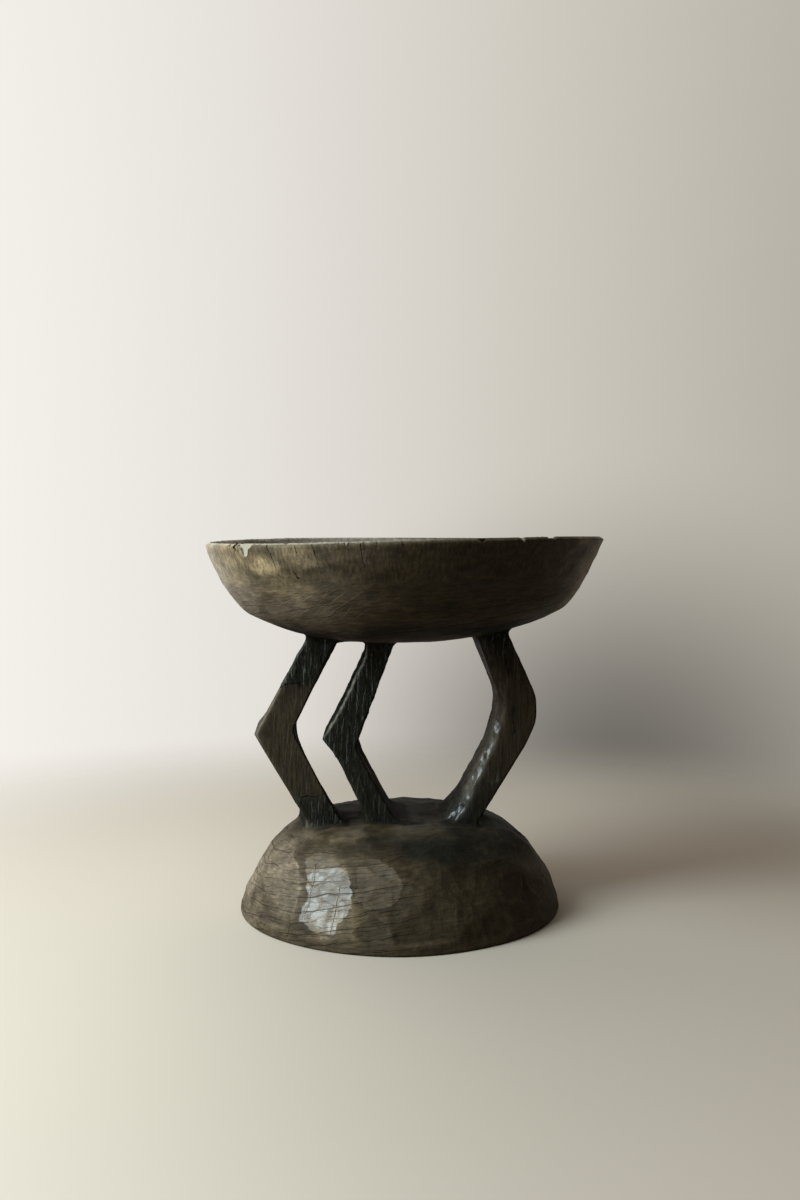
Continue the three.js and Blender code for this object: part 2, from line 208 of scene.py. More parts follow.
# Polished flats on the base: outline as x and z, how shiny, and how much painted sheen greys it.
POLISHED_FLATS = [
    ([(-91.5, 63.5), (-82, 70.5), (-67, 73), (-57, 72.5), (-51.5, 62), (-47.8, 55), (-46, 46), (-47, 35.5),
      (-53, 27), (-59, 22.5), (-60, 14.5), (-65, 11), (-74, 11.5), (-81, 15), (-94, 20), (-90.5, 30),
      (-86.5, 37), (-88, 45), (-87, 53)], 0.72, 0.28),
    ([(-44, 69), (-24, 72), (-8, 66), (-1, 55), (-3, 44), (-14, 37), (-30, 36), (-43, 42), (-41, 56)], 0.7, 0.2),
    ([(-118, 60), (-104, 66), (-96, 58), (-94, 40), (-99, 24), (-112, 20), (-122, 34)], 0.35, 0.34),
    ([(-40, 19), (-32, 27), (-14, 26), (-8, 16), (-22, 8), (-36, 8)], 0.25, 0.0),
]
POLISH = [
    ((-88, -40, 245), (30, 10, 26), 0.3), ((-110, -40, 172), (40, 10, 40), 0.2),
    ((-86, -40, 104), (22, 10, 16), 0.4), ((-36, -40, 140), (20, 10, 30), 0.3),
    ((-170, -80, 330), (40, 60, 30), 0.2),
    ((100, -30, 250), (30, 30, 30), 0.3),
]


class SeatSizes(bpy.types.PropertyGroup):
    bottom: FloatProperty(
        name="Underside", description="Height of the bowl's lowest point above the floor",
        default=0.2605, min=0.1, max=0.4, unit="LENGTH", subtype="DISTANCE")
    lean: FloatProperty(
        name="Lean", description="How far the bowl leans down to the left",
        default=math.radians(1), min=0, max=0.1, unit="ROTATION", subtype="ANGLE")
    oval: FloatProperty(
        name="Out of round", description="How much wider the rim is from side to side than on average",
        default=0.003, min=0, max=0.05)


class BaseSizes(bpy.types.PropertyGroup):
    radius: FloatProperty(
        name="Radius", description="Radius of the base at the floor",
        default=0.157, min=0.08, max=0.25, unit="LENGTH", subtype="DISTANCE")
    height: FloatProperty(
        name="Height", description="Height of the dome over the floor",
        default=0.0875, min=0.02, max=0.15, unit="LENGTH", subtype="DISTANCE")
    side: FloatProperty(
        name="Side power", description="How upright the dome's side is before it turns in",
        default=5.06, min=2, max=10)
    top: FloatProperty(
        name="Top power", description="How soon the dome's top levels out",
        default=1.1, min=1, max=3)
    centre: FloatProperty(
        name="Centre", description="Where the base and the legs are centred along X",
        default=-0.0034, min=-0.05, max=0.05, unit="LENGTH", subtype="DISTANCE")


class LegSizes(bpy.types.PropertyGroup):
    front: FloatProperty(
        name="Front", description="Where the planks' front faces are along Y",
        default=-0.04, min=-0.1, max=0, unit="LENGTH", subtype="DISTANCE")
    depth: FloatProperty(
        name="Depth", description="How deep the planks are from front to back",
        default=0.08, min=0.03, max=0.15, unit="LENGTH", subtype="DISTANCE")
    edge: FloatProperty(
        name="Edge", description="Radius of the planks' worn edges",
        default=0.0022, min=0.0005, max=0.01, unit="LENGTH", subtype="DISTANCE")
    root: FloatProperty(
        name="Root", description="How widely the planks run into the bowl and the base",
        default=0.007, min=0.001, max=0.02, unit="LENGTH", subtype="DISTANCE")


class CarvingSizes(bpy.types.PropertyGroup):
    pitch: FloatProperty(
        name="Pitch", description="Spacing of the field that the forms are worked out in",
        default=0.00125, min=0.001, max=0.006, unit="LENGTH", subtype="DISTANCE")
    hollow: FloatProperty(
        name="Adze hollow", description="How deeply one adze stroke is cut between its ridges",
        default=0.0042, min=0, max=0.01, unit="LENGTH", subtype="DISTANCE")
    gouge: FloatProperty(
        name="Gouge hollow", description="How deeply one gouge stroke is cut into the planks",
        default=0.0018, min=0, max=0.005, unit="LENGTH", subtype="DISTANCE")
    ridge: FloatProperty(
        name="Ridge wear", description="How far the ridges between strokes are worn round",
        default=0.1, min=0, max=1, subtype="FACTOR")
    seed: IntProperty(
        name="Seed", description="Which of the possible layouts of strokes is cut", default=4, min=0)
    triangles: IntProperty(
        name="Triangles", description="How many triangles the finished carving has, about",
        default=182000, min=10000, max=195000)


class WoodFinish(bpy.types.PropertyGroup):
    brown: FloatVectorProperty(
        name="Wood", description="Colour of the handled wood",
        default=(0.06, 0.0415, 0.0218), size=3, min=0, max=1, subtype="COLOR")
    # Also the colour of painted shade on right-facing sides, on the base's right and on the bowl's underside.
    dark: FloatVectorProperty(
        name="Dark wood", description="Colour of the wood that smoke and oil have darkened",
        default=(0.0128, 0.011, 0.006), size=3, min=0, max=1, subtype="COLOR")
    # Also the colour of a painted shadow beside the middle leg's foot.
    stain: FloatVectorProperty(
        name="Stain", description="Colour of the green-black stains",
        default=(0.01, 0.0104, 0.0078), size=3, min=0, max=1, subtype="COLOR")
    olive: FloatVectorProperty(
        name="Worn patch", description="Colour of the wood where hands have worn it pale",
        default=(0.52, 0.38, 0.21), size=3, min=0, max=1, subtype="COLOR")
    # This colour also paints light, and sheen and highlight on the base's flats and the bowl's arcs.
    pale: FloatVectorProperty(
        name="Greyed wood", description="Colour of the wood that light and dust have greyed",
        default=(0.41, 0.316, 0.215), size=3, min=0, max=1, subtype="COLOR")
    fresh: FloatVectorProperty(
        name="Broken wood", description="Colour of the bare wood in the rim's chips",
        default=(0.47, 0.42, 0.33), size=3, min=0, max=1, subtype="COLOR")
    # This colour is a painted highlight along the chisel lines.
    scratch: FloatVectorProperty(
        name="Chisel lines", description="Colour of the fine ridges between chisel cuts",
        default=(0.15, 0.16, 0.145), size=3, min=0, max=1, subtype="COLOR")
    # This colour also paints light inside the bowl, and highlight on the rim's top and on the legs' bevels.
    dust: FloatVectorProperty(
        name="Dusty wood", description="Colour of the bowl's inside",
        default=(0.6, 0.53, 0.42), size=3, min=0, max=1, subtype="COLOR")
    roughness: FloatProperty(
        name="Roughness", description="Roughness of the wood under its polish",
        default=0.52, min=0.05, max=1, subtype="FACTOR")
    sheen: FloatProperty(
        name="Sheen", description="Reflection of the wood under its polish",
        default=0.14, min=0, max=1, subtype="FACTOR")
    polish: FloatProperty(
        name="Polish roughness", description="Roughness of the places that hands have polished",
        default=0.24, min=0.05, max=1, subtype="FACTOR")


class StageSettings(bpy.types.PropertyGroup):
    floor: FloatVectorProperty(
        name="Floor", description="Colour of the floor",
        default=(0.75, 0.64, 0.522), size=3, min=0, max=1, subtype="COLOR")
    window: FloatProperty(
        name="Window", description="Power of the soft light on the left",
        default=43, min=0, max=1000, unit="POWER")
    behind: FloatProperty(
        name="Light behind", description="Strength of the pale light from behind the stool",
        default=0.75, min=0, max=5)
    front: FloatProperty(
        name="Light in front", description="Strength of the dim light from the room in front",
        default=0.045, min=0, max=5)


# --- shapes as distances, in millimetres ---

def spline(points, steps=14):
    """A Catmull-Rom curve through the points, as the solid's outlines have."""
    p = np.array(points, float)
    out = []
    for i in range(len(p) - 1):
        before, here, there, after = p[max(i - 1, 0)], p[i], p[i + 1], p[min(i + 2, len(p) - 1)]
        v0, v1 = (there - before) / 2, (after - here) / 2
        for t in np.arange(steps) / steps:
            out.append((2 * here - 2 * there + v0 + v1) * t ** 3
                       + (3 * there - 3 * here - 2 * v0 - v1) * t ** 2 + v0 * t + here)
    return np.array([*out, p[-1]])


def rounded(corners, steps=6):
    """A closed outline with rounded corners, from (x, z, radius) corners."""
    out = []
    for k, (x, z, radius) in enumerate(corners):
        here = np.array((x, z), float)
        before = np.array(corners[k - 1][:2]) - here
        after = np.array(corners[(k + 1) % len(corners)][:2]) - here
        a, b = np.linalg.norm(before), np.linalg.norm(after)
        bend = math.acos(before @ after / (a * b))
        reach = min(radius / math.tan(bend / 2), 0.45 * a, 0.45 * b)
        start, end = here + before / a * reach, here + after / b * reach
        count = steps if radius else 0
        for t in np.arange(count + 1) / max(count, 1):
            out.append((1 - t) ** 2 * start + 2 * t * (1 - t) * here + t ** 2 * end)
    return np.array(out)


class Section:
    """The signed distance from a closed outline, tabled on a fine grid and negative inside."""

    STEP = 0.5

    def __init__(self, outline, low, high):
        self.low = np.array(low, float)
        count = np.ceil((np.array(high) - self.low) / self.STEP).astype(int) + 1
        u = self.low[0] + self.STEP * np.arange(count[0])[:, None]
        v = self.low[1] + self.STEP * np.arange(count[1])[None, :]
        nearest = np.full((count[0], count[1]), np.inf)
        inside = np.zeros(nearest.shape, bool)
        for (au, av), (bu, bv) in zip(outline, np.roll(outline, -1, axis=0)):
            du, dv = bu - au, bv - av
            length = du * du + dv * dv
            if length < 1e-12:
                continue
            t = np.clip(((u - au) * du + (v - av) * dv) / length, 0, 1)
            nearest = np.minimum(nearest, (u - au - t * du) ** 2 + (v - av - t * dv) ** 2)
            if dv:
                inside ^= ((av > v) != (bv > v)) & (u < au + du * (v - av) / dv)
        self.table = (np.sqrt(nearest) * np.where(inside, -1, 1)).astype(np.float32)

    def __call__(self, u, v):
        u = np.clip((u - self.low[0]) / self.STEP, 0, self.table.shape[0] - 1.001)
        v = np.clip((v - self.low[1]) / self.STEP, 0, self.table.shape[1] - 1.001)
        i, j = u.astype(np.int32), v.astype(np.int32)
        u, v = (u - i).astype(np.float32), (v - j).astype(np.float32)
        t = self.table
        return ((t[i, j] * (1 - u) + t[i + 1, j] * u) * (1 - v)
                + (t[i, j + 1] * (1 - u) + t[i + 1, j + 1] * u) * v)


def smoothstep(low, high, x):
    t = np.clip((x - low) / (high - low), 0, 1)
    return t * t * (3 - 2 * t)


def share_at(table, z):
    heights, shares = zip(*table)
    return np.interp(z, heights, shares)


def centre_line(name, z):
    """Middle of a leg's front outline at height z."""
    outline = rounded(LEGS[name][0])
    heights = np.arange(*LEG_HEIGHTS, 2.0)
    middle = []
    for height in heights:
        crossings = [
            a[0] + (height - a[1]) / (b[1] - a[1]) * (b[0] - a[0])
            for a, b in zip(outline, np.roll(outline, -1, axis=0))
            if (a[1] - height) * (b[1] - height) < 0
        ]
        middle.append((min(crossings) + max(crossings)) / 2)
    return np.interp(z, heights, middle)


def smooth_union(a, b, width):
    h = np.clip(0.5 + 0.5 * (b - a) / width, 0, 1)
    return b + (a - b) * h - width * h * (1 - h)


class Forms:
    """The stool's forms: each function takes points in millimetres and gives distances."""

    def __init__(self, settings):
        seat, base, legs = settings.seat, settings.base, settings.legs
        self.bottom = seat.bottom / MM
        self.lean = math.tan(seat.lean)
        self.oval = seat.oval
        self.centre = base.centre / MM
        self.front = legs.front / MM
        self.depth = legs.depth / MM
        self.edge = legs.edge / MM
        self.outside = spline(SEAT_OUTSIDE)
        self.inside = spline(SEAT_INSIDE)
        bowl = np.vstack([self.outside, [RIM_TOP], self.inside, [(0, SEAT_INSIDE[-1][1])]])
        mirrored = bowl[::-1] * (-1, 1)
        self.bowl = Section(np.vstack([bowl, mirrored]), (0, -16), (206, 112))
        turn = np.linspace(0, math.pi / 2, 160)
        radius, height = base.radius / MM, base.height / MM
        dome = np.stack([radius * np.sin(turn) ** (2 / base.side),
                         height * np.cos(turn) ** (2 / base.top)], 1)
        foot = [(radius - 0.5, 1.2), (radius - 2, 0)]
        dome = np.vstack([dome[dome[:, 1] > 2.5], foot])
        rng = np.random.default_rng(5)
        behind = [(-4 + 190 * (k + rng.uniform(0, 0.8)) / FLATS_BEHIND, rng.uniform(16, 58), rng.uniform(1.2, 2.4))
                  for k in range(FLATS_BEHIND)]
        self.flats = []
        for turn, up, depth in [*FLATS, *behind]:
            turn, up = math.radians(turn), math.radians(up)
            normal = (math.cos(up) * math.cos(turn), math.cos(up) * math.sin(turn), math.sin(up))
            reach = (dome @ (math.cos(up), math.sin(up))).max() - depth
            self.flats.append((normal, reach))
        self.dome = Section(np.vstack([dome, dome[::-1] * (-1, 1)]), (0, -14), (radius + 12, height + 16))
        self.planks = {}
        for name, (corners, shift, bevel) in LEGS.items():
            outline = rounded(corners)
            low, high = outline.min(0) - 12, outline.max(0) + 12
            self.planks[name] = (Section(outline, low, high), shift, bevel)

    def in_seat(self, x, y, z):
        """Radius and height in the bowl's own outline, before it was leaned and waved."""
        radius, turn = np.hypot(x, y), np.arctan2(y, x)
        cos1, sin1, cos2, sin2 = RIM_WAVE
        crest = (cos1 * np.cos(turn) + sin1 * np.sin(turn)
                 + cos2 * np.cos(2 * turn) + sin2 * np.sin(2 * turn))
        outer = smoothstep(DISH_FLAT_RADIUS, 2 * DISH_FLAT_RADIUS, radius)
        height = z - self.bottom
        up = high = 0
        for _ in range(3):
            up = np.clip(height / RIM_TOP[1], 0, 1)
            high = np.clip(2 * up - 1, 0, None) ** 2
            leans = 1 - (1 - outer) * smoothstep(0.2, 0.33, up)
            height = z - self.bottom - crest * high - x * self.lean * (1 - high) * leans
        flare = 1 + self.oval * np.cos(2 * turn) * up + RIM_FLARE * crest * high / RIM_TOP[0]
        flare = flare + RIGHT_BELLY * smoothstep(75, 15, height) * smoothstep(0, 0.9, np.cos(turn)) * outer
        return radius / flare, height

    def seat(self, x, y, z):
        return self.bowl(*self.in_seat(x, y, z))

    def base(self, x, y, z):
        toward = np.cos(np.arctan2(y, x - self.centre) - math.radians(FOOT_BULGE[0]))
        bulge = 1 + FOOT_BULGE[1] * smoothstep(0.5, 0.95, toward) * smoothstep(40, 10, z)
        inside = self.dome(np.hypot(x - self.centre, y) / bulge, z + 0 * x)
        kept = 8 * smoothstep(FLATS_LOWEST, 2, z)
        for (nx, ny, nz), reach in self.flats:
            inside = np.maximum(inside, (x - self.centre) * nx + y * ny + z * nz - reach - kept)
        return inside

    def in_leg(self, name, x, y, z):
        """Place across the leg's front outline, with the shift of its rear taken out."""
        back = (y - self.front) / self.depth
        return x - self.centre - back * share_at(self.planks[name][1], z)

    def leg(self, name, x, y, z):
        section, _, bevels = self.planks[name]
        across = self.in_leg(name, x, y, z)
        face = section(across, z + 0 * x)
        ends = np.abs(y - self.front - self.depth / 2) - self.depth / 2
        bevel = share_at(bevels, z) - 30 * smoothstep(-4, 2, across - centre_line(name, z))
        bevelled = (face + self.front - y + bevel) / math.sqrt(2)
        face, ends = face + self.edge, ends + self.edge
        corner = np.hypot(np.clip(face, 0, None), np.clip(ends, 0, None))
        plank = corner + np.clip(np.maximum(face, ends), None, 0) - self.edge
        return -smooth_union(-plank, -bevelled, 1.5)


def block_field(forms, pitch, root):
    """All the forms as one distance field on a grid, and the grid's lowest corner."""
    low = np.array((-198.0, -197.0, -5.0))
    high = np.array((199.0, 197.0, 368.0))
    count = np.ceil((high - low) / pitch).astype(int)
    axes = [(low[k] + pitch * np.arange(count[k])).astype(np.float32) for k in range(3)]
    far = 3 * pitch + root
    field = np.full(tuple(count), far, np.float32)

    def part(box, distance, blend):
        cut = tuple(slice(*np.searchsorted(axes[k], box[k])) for k in range(3))
        x, y, z = (axes[k][cut[k]].reshape([-1 if n == k else 1 for n in range(3)]) for k in range(3))
        found = distance(x, y, z)
        field[cut] = smooth_union(field[cut], found, blend) if blend else np.minimum(field[cut], found)

    part(((-200, 200), (-200, 200), (244, 370)), forms.seat, 0)
    part(((-175, 170), (-172, 172), (-6, 102)), forms.base, 0)
    for name, (section, _, _) in forms.planks.items():
        x0, x1 = section.low[0] - 8, section.low[0] + Section.STEP * section.table.shape[0] + 8
        part(((x0, x1), (forms.front - 10, forms.front + forms.depth + 10), (60, 284)),
             lambda x, y, z, name=name: forms.leg(name, x, y, z), root)
    return np.clip(field, -far, far), low


def mesh_from(name, points, corners):
    """A mesh from arrays of points and of faces that all have the same number of corners."""
    mesh = bpy.data.meshes.new(name)
    mesh.vertices.add(len(points))
    mesh.vertices.foreach_set("co", np.asarray(points, np.float32).ravel())
    mesh.loops.add(corners.size)
    mesh.loops.foreach_set("vertex_index", corners.ravel().astype(np.int32))
    mesh.polygons.add(len(corners))
    mesh.polygons.foreach_set("loop_start", np.arange(0, corners.size, corners.shape[1], dtype=np.int32))
    mesh.update(calc_edges=True)
    mesh.validate()
    return mesh


def carve_block(settings):
    """The smooth stool as an object, in metres."""
    pitch = settings.carving.pitch / MM * 1
    forms = Forms(settings)
    field, low = block_field(forms, pitch, settings.legs.root / MM)
    grid = openvdb.FloatGrid(float(field.max()))
    grid.copyFromArray(field)
    points, _, quads = grid.convertToPolygons(isovalue=0.0, adaptivity=0.0)
    points = (points * pitch + low) * MM
    points[:, 2] = np.clip(points[:, 2], 0, None)
    a, b, c, d = (points[quads[:, k]] for k in range(4))
    volume = np.einsum("ij,ij->i", a, np.cross(b - a, c - a) + np.cross(c - a, d - a)).sum()
    if volume < 0:
        quads = quads[:, ::-1]
    mesh = mesh_from("stool", points, quads)
    block = bpy.data.objects.new("stool_carving", mesh)
    bpy.context.collection.objects.link(block)
    return block, forms


# --- the strokes ---

def points_of(mesh):
    out = np.empty(len(mesh.vertices) * 3, np.float32)
    mesh.vertices.foreach_get("co", out)
    return out.reshape(-1, 3)


def along_legs(forms, points):
    """Each leg's distance from the points, and the points' place across it."""
    x, y, z = points.T
    return {name: (forms.leg(name, x, y, z), forms.in_leg(name, x, y, z)) for name in forms.planks}


def zones(forms, points):
    """For each point, the form it lies on, and how close a second form is."""
    x, y, z = points.T
    found = {"seat": forms.seat(x, y, z), "base": forms.base(x, y, z)}
    found["seat"] = np.where(z > 240, found["seat"], 99)
    found["base"] = np.where(z < 105, found["base"], 99)
    for name, (distance, _) in along_legs(forms, points).items():
        found[name] = np.where((z > 66) & (z < 278), distance, 99)
    names = list(found)
    stack = np.stack([found[n] for n in names])
    order = np.sort(stack, axis=0)
    return np.array(names)[stack.argmin(0)], order[1] - order[0]


def plan_strokes(mesh, forms):
    """Writes where each vertex lies among the strokes, in stroke lengths, and how deep they go."""
    points = points_of(mesh) / MM
    x, y, z = points.T
    zone, apart = zones(forms, points)
    place = points / (30, 30, 25)
    depth = np.zeros(len(points))
    radius, height = forms.in_seat(x, y, z)
    dish = np.interp(radius, forms.inside[::-1, 0], forms.inside[::-1, 1])
    on_seat = zone == "seat"
    inner = on_seat & (np.abs(height - dish) < 2.5) & (radius < 183)
    outer = on_seat & ~inner
    place[outer] = points[outer] / (44, 44, 17)
    depth[outer] = 0.34 * smoothstep(40, 80, radius[outer]) * (1 - smoothstep(88, 96, height[outer]))
    place[inner] = points[inner] / (34, 34, 34)
    depth[inner] = 0.22 * smoothstep(36, 80, radius[inner])
    on_base = zone == "base"
    place[on_base] = points[on_base] / (27, 27, 24)
    depth[on_base] = 0.62 * smoothstep(2.5, 9, z[on_base])
    gouged = np.zeros(len(points))
    for name, (_, across) in along_legs(forms, points).items():
        on = zone == name
        length, lean = GOUGE_LIE[name]
        place[on] = np.stack([x[on] + lean * z[on], y[on], z[on]], 1) / (5.2, 5.2, length)
        gouged[on] = share_at(LEG_GOUGING[name], z[on])
        if name == "right":
            inner_face = on & (across < centre_line(name, z) - 8) & (z < 225)
            place[inner_face] = points[inner_face] / (6.5, 6.5, 13)
            gouged[inner_face] = INNER_FACE_GOUGING
    clear = smoothstep(0, 7, apart)
    for name, values in (("adze_depth", depth * clear), ("gouge_depth", gouged * (0.35 + 0.65 * clear))):
        mesh.attributes.new(name, "FLOAT", "POINT").data.foreach_set("value", values.astype(np.float32))
    at = mesh.attributes.new("stroke_place", "FLOAT_VECTOR", "POINT")
    at.data.foreach_set("vector", place.astype(np.float32).ravel())


def stroke_nodes():
    """Geometry Nodes that cut hollow strokes side by side, by a Voronoi pattern's distances."""
    tree = bpy.data.node_groups.new("Cut strokes", "GeometryNodeTree")
    tree.is_modifier = True
    new = tree.interface.new_socket
    new("Geometry", in_out="OUTPUT", socket_type="NodeSocketGeometry")
    new("Geometry", in_out="INPUT", socket_type="NodeSocketGeometry")
    for name, kind, default in (
            ("Depth", "NodeSocketFloat", 0.002), ("Depth attribute", "NodeSocketString", ""),
            ("Finer", "NodeSocketFloat", 1.0), ("Ridge wear", "NodeSocketFloat", 0.1),
            ("Unevenness", "NodeSocketFloat", 0.3), ("Seed", "NodeSocketInt", 0),
            ("Wood", "NodeSocketMaterial", None)):
        socket = new(name, in_out="INPUT", socket_type=kind)
        if default is not None:
            socket.default_value = default
    nodes, link = tree.nodes, tree.links.new
    given, out = nodes.new("NodeGroupInput"), nodes.new("NodeGroupOutput")

    def math_node(operation, *values):
        node = nodes.new("ShaderNodeMath")
        node.operation = operation
        for socket, value in zip(node.inputs, values):
            if isinstance(value, (int, float)):
                socket.default_value = value
            else:
                link(value, socket)
        return node.outputs[0]

    def vector_node(operation, a, b):
        node = nodes.new("ShaderNodeVectorMath")
        node.operation = operation
        for socket, value in zip(node.inputs, (a, b)):
            if isinstance(value, tuple):
                socket.default_value = value
            else:
                link(value, socket)
        return node.outputs[0]

    def named(kind, source):
        node = nodes.new("GeometryNodeInputNamedAttribute")
        node.data_type = kind
        if isinstance(source, str):
            node.inputs["Name"].default_value = source
        else:
            link(source, node.inputs["Name"])
        return node.outputs["Attribute"]

    place = named("FLOAT_VECTOR", "stroke_place")
    shift = nodes.new("ShaderNodeCombineXYZ")
    for k, factor in enumerate((17.3, 31.7, 11.9)):
        link(math_node("MULTIPLY", given.outputs["Seed"], factor), shift.inputs[k])
    placed = vector_node("ADD", place, shift.outputs[0])
    warp = nodes.new("ShaderNodeTexNoise")
    warp.inputs["Scale"].default_value = 0.8
    link(placed, warp.inputs["Vector"])
    swerve = vector_node("MULTIPLY", vector_node("SUBTRACT", warp.outputs["Color"], (0.5, 0.5, 0.5)),
                         (0.7, 0.7, 0.7))
    strokes = nodes.new("ShaderNodeTexVoronoi")
    strokes.feature = "SMOOTH_F1"
    link(vector_node("ADD", placed, swerve), strokes.inputs["Vector"])
    link(given.outputs["Finer"], strokes.inputs["Scale"])
    link(given.outputs["Ridge wear"], strokes.inputs["Smoothness"])
    hollow = math_node("POWER", strokes.outputs["Distance"], 2.0)
    tone = nodes.new("FunctionNodeSeparateColor")
    link(strokes.outputs["Color"], tone.inputs[0])
    step = math_node("MULTIPLY", math_node("SUBTRACT", tone.outputs[0], 0.5), given.outputs["Unevenness"])
    height = math_node("ADD", math_node("SUBTRACT", hollow, 0.3), step)
    share = named("FLOAT", given.outputs["Depth attribute"])
    lift = math_node("MULTIPLY", math_node("MULTIPLY", height, share), given.outputs["Depth"])
    scale = nodes.new("ShaderNodeVectorMath")
    scale.operation = "SCALE"
    link(nodes.new("GeometryNodeInputNormal").outputs[0], scale.inputs[0])
    link(lift, scale.inputs["Scale"])
    move = nodes.new("GeometryNodeSetPosition")
    link(given.outputs["Geometry"], move.inputs["Geometry"])
    link(scale.outputs[0], move.inputs["Offset"])
    real = nodes.new("GeometryNodeRealizeInstances")
    link(move.outputs[0], real.inputs[0])
    coat = nodes.new("GeometryNodeSetMaterial")
    link(real.outputs[0], coat.inputs["Geometry"])
    link(given.outputs["Wood"], coat.inputs["Material"])
    link(coat.outputs[0], out.inputs[0])
    return tree


def add_strokes(block, tree, name, **values):
    modifier = block.modifiers.new(name, "NODES")
    modifier.node_group = tree
    sockets = {s.name: s.identifier for s in tree.interface.items_tree if s.in_out == "INPUT"}
    for label, value in values.items():
        modifier[sockets[label.replace("_", " ")]] = value


def bake_modifiers(block):
    """Turns what the modifiers make into the object's own mesh, and takes them off."""
    block.data.update()
    graph = bpy.context.evaluated_depsgraph_get()
    made = bpy.data.meshes.new_from_object(block.evaluated_get(graph))
    if not made.polygons:
        raise RuntimeError(f"the modifiers left nothing of {block.name}")
    block.modifiers.clear()
    old, block.data = block.data, made
    bpy.data.meshes.remove(old)


# --- cracks, slits and chips ---

def prism(front, back):
    """A closed mesh between two outlines with the same number of points."""
    n = len(front)
    points = [*front, *back]
    faces = [list(range(n))[::-1], list(range(n, 2 * n))]
    faces += [[i, (i + 1) % n, n + (i + 1) % n, n + i] for i in range(n)]
    return points, faces


def cutter_object(name, points, faces):
    mesh = bpy.data.meshes.new(name)
    mesh.from_pydata([tuple(np.asarray(p) * MM) for p in points], [], faces)
    mesh.update()
    cutter = bpy.data.objects.new(name, mesh)
    bpy.context.collection.objects.link(cutter)
    return cutter


def crack_wedge(line, width, tree, index):
    """A thin wedge laid into the surface along a line, narrow at its ends."""
    line = np.array(line, float)
    run = np.concatenate([[0], np.cumsum(np.linalg.norm(np.diff(line, axis=0), axis=1))])
    steps = np.linspace(0, run[-1], max(4, int(run[-1] / 3)))
    middle = np.stack([np.interp(steps, run, line[:, k]) for k in range(3)], 1)
    rng = np.random.default_rng(100 + index)
    points, faces = [], []
    for k, point in enumerate(middle):
        near, normal, _, _ = tree.find_nearest(Vector(point * MM))
        near, normal = np.array(near) / MM, np.array(normal)
        ahead = middle[min(k + 1, len(middle) - 1)] - middle[max(k - 1, 0)]
        side = np.cross(normal, ahead)
        side /= np.linalg.norm(side)
        t = k / (len(middle) - 1)
        opening = width * (0.35 + 0.65 * math.sin(math.pi * min(1, 0.18 + t)) ** 0.7) * rng.uniform(0.75, 1.2)
        wander = side * rng.uniform(-0.35, 0.35)
        points += [near + wander + side * opening / 2 + normal * 1.2,
                   near + wander - side * opening / 2 + normal * 1.2,
                   near + wander - normal * CRACK_DEPTH * rng.uniform(0.8, 1.1)]
    for k in range(len(middle) - 1):
        a, b = 3 * k, 3 * k + 3
        faces += [(a, a + 1, b + 1, b), (a + 1, a + 2, b + 2, b + 1), (a + 2, a, b, b + 2)]
    last = 3 * (len(middle) - 1)
    faces += [(2, 1, 0), (last, last + 1, last + 2)]
    return points, faces


def rim_block(forms, angle, outline, inner):
    """A prism with this outline, laid across the rim from outside."""
    turn = math.radians(angle)
    cos1, sin1, cos2, sin2 = RIM_WAVE
    crest = (forms.bottom + RIM_TOP[1] + cos1 * math.cos(turn) + sin1 * math.sin(turn)
             + cos2 * math.cos(2 * turn) + sin2 * math.sin(2 * turn))
    out = np.array((math.cos(turn), math.sin(turn), 0))
    side = np.array((-math.sin(turn), math.cos(turn), 0))
    rows = []
    for radius in (inner, inner + RIM_REACH):
        rows.append([out * radius + side * u + np.array((0, 0, crest + v)) for u, v in outline])
    return prism(rows[0], rows[1])


def join_cutters(pieces, name):
    points, faces = [], []
    for piece_points, piece_faces in pieces:
        first = len(points)
        points += list(piece_points)
        faces += [[first + i for i in face] for face in piece_faces]
    return cutter_object(name, points, faces)


def cut_away(block, cutter):
    """Takes the cutter out of the block."""
    bpy.context.view_layer.objects.active = cutter
    for o in bpy.context.selected_objects:
        o.select_set(False)
    cutter.select_set(True)
    bpy.ops.object.mode_set(mode="EDIT")
    bpy.ops.mesh.select_all(action="SELECT")
    bpy.ops.mesh.normals_make_consistent(inside=False)
    bpy.ops.object.mode_set(mode="OBJECT")
    before = len(block.data.polygons)
    cut = block.modifiers.new("Cut", "BOOLEAN")
    cut.operation = "DIFFERENCE"
    cut.object = cutter
    cut.solver = "MANIFOLD"
    graph = bpy.context.evaluated_depsgraph_get()
    if not block.evaluated_get(graph).data.polygons or len(block.evaluated_get(graph).data.polygons) == before:
        cut.solver = "EXACT"
    bake_modifiers(block)
    if len(block.data.polygons) == before:
        raise RuntimeError(f"{cutter.name} cut nothing")


def on_cutter(mesh, cutter, attribute):
    """Marks the faces that lie on a cutter's surface."""
    tree = BVHTree.FromPolygons([v.co for v in cutter.data.vertices],
                                [tuple(p.vertices) for p in cutter.data.polygons])
    centres = np.empty(len(mesh.polygons) * 3, np.float32)
    mesh.polygons.foreach_get("center", centres)
    centres = centres.reshape(-1, 3)
    corners = points_of(cutter.data)
    marks = np.zeros(len(centres), np.float32)
    near = ((centres > corners.min(0) - 1e-4) & (centres < corners.max(0) + 1e-4)).all(1)
    for i in np.flatnonzero(near):
        found = tree.find_nearest(Vector(centres[i]), 6e-5)
        marks[i] = found[0] is not None
    mesh.attributes.new(attribute, "FLOAT", "FACE").data.foreach_set("value", marks)


# --- what the finish needs to know ---

def ellipsoids(points, places, seed):
    """How strongly each point lies in soft-edged places, with ragged borders."""
    total = np.zeros(len(points))
    rng = np.random.default_rng(seed)
    waves = rng.normal(size=(9, 3)) / 9
    phase = rng.uniform(0, 2 * math.pi, 9)
    ragged = np.sin(points @ waves.T + phase).mean(1) * 0.55
    for centre, reach, strength in places:
        away = np.linalg.norm((points - centre) / reach, axis=1)
        total = np.maximum(total, strength * smoothstep(1.25, 0.35, away + ragged))
    return total


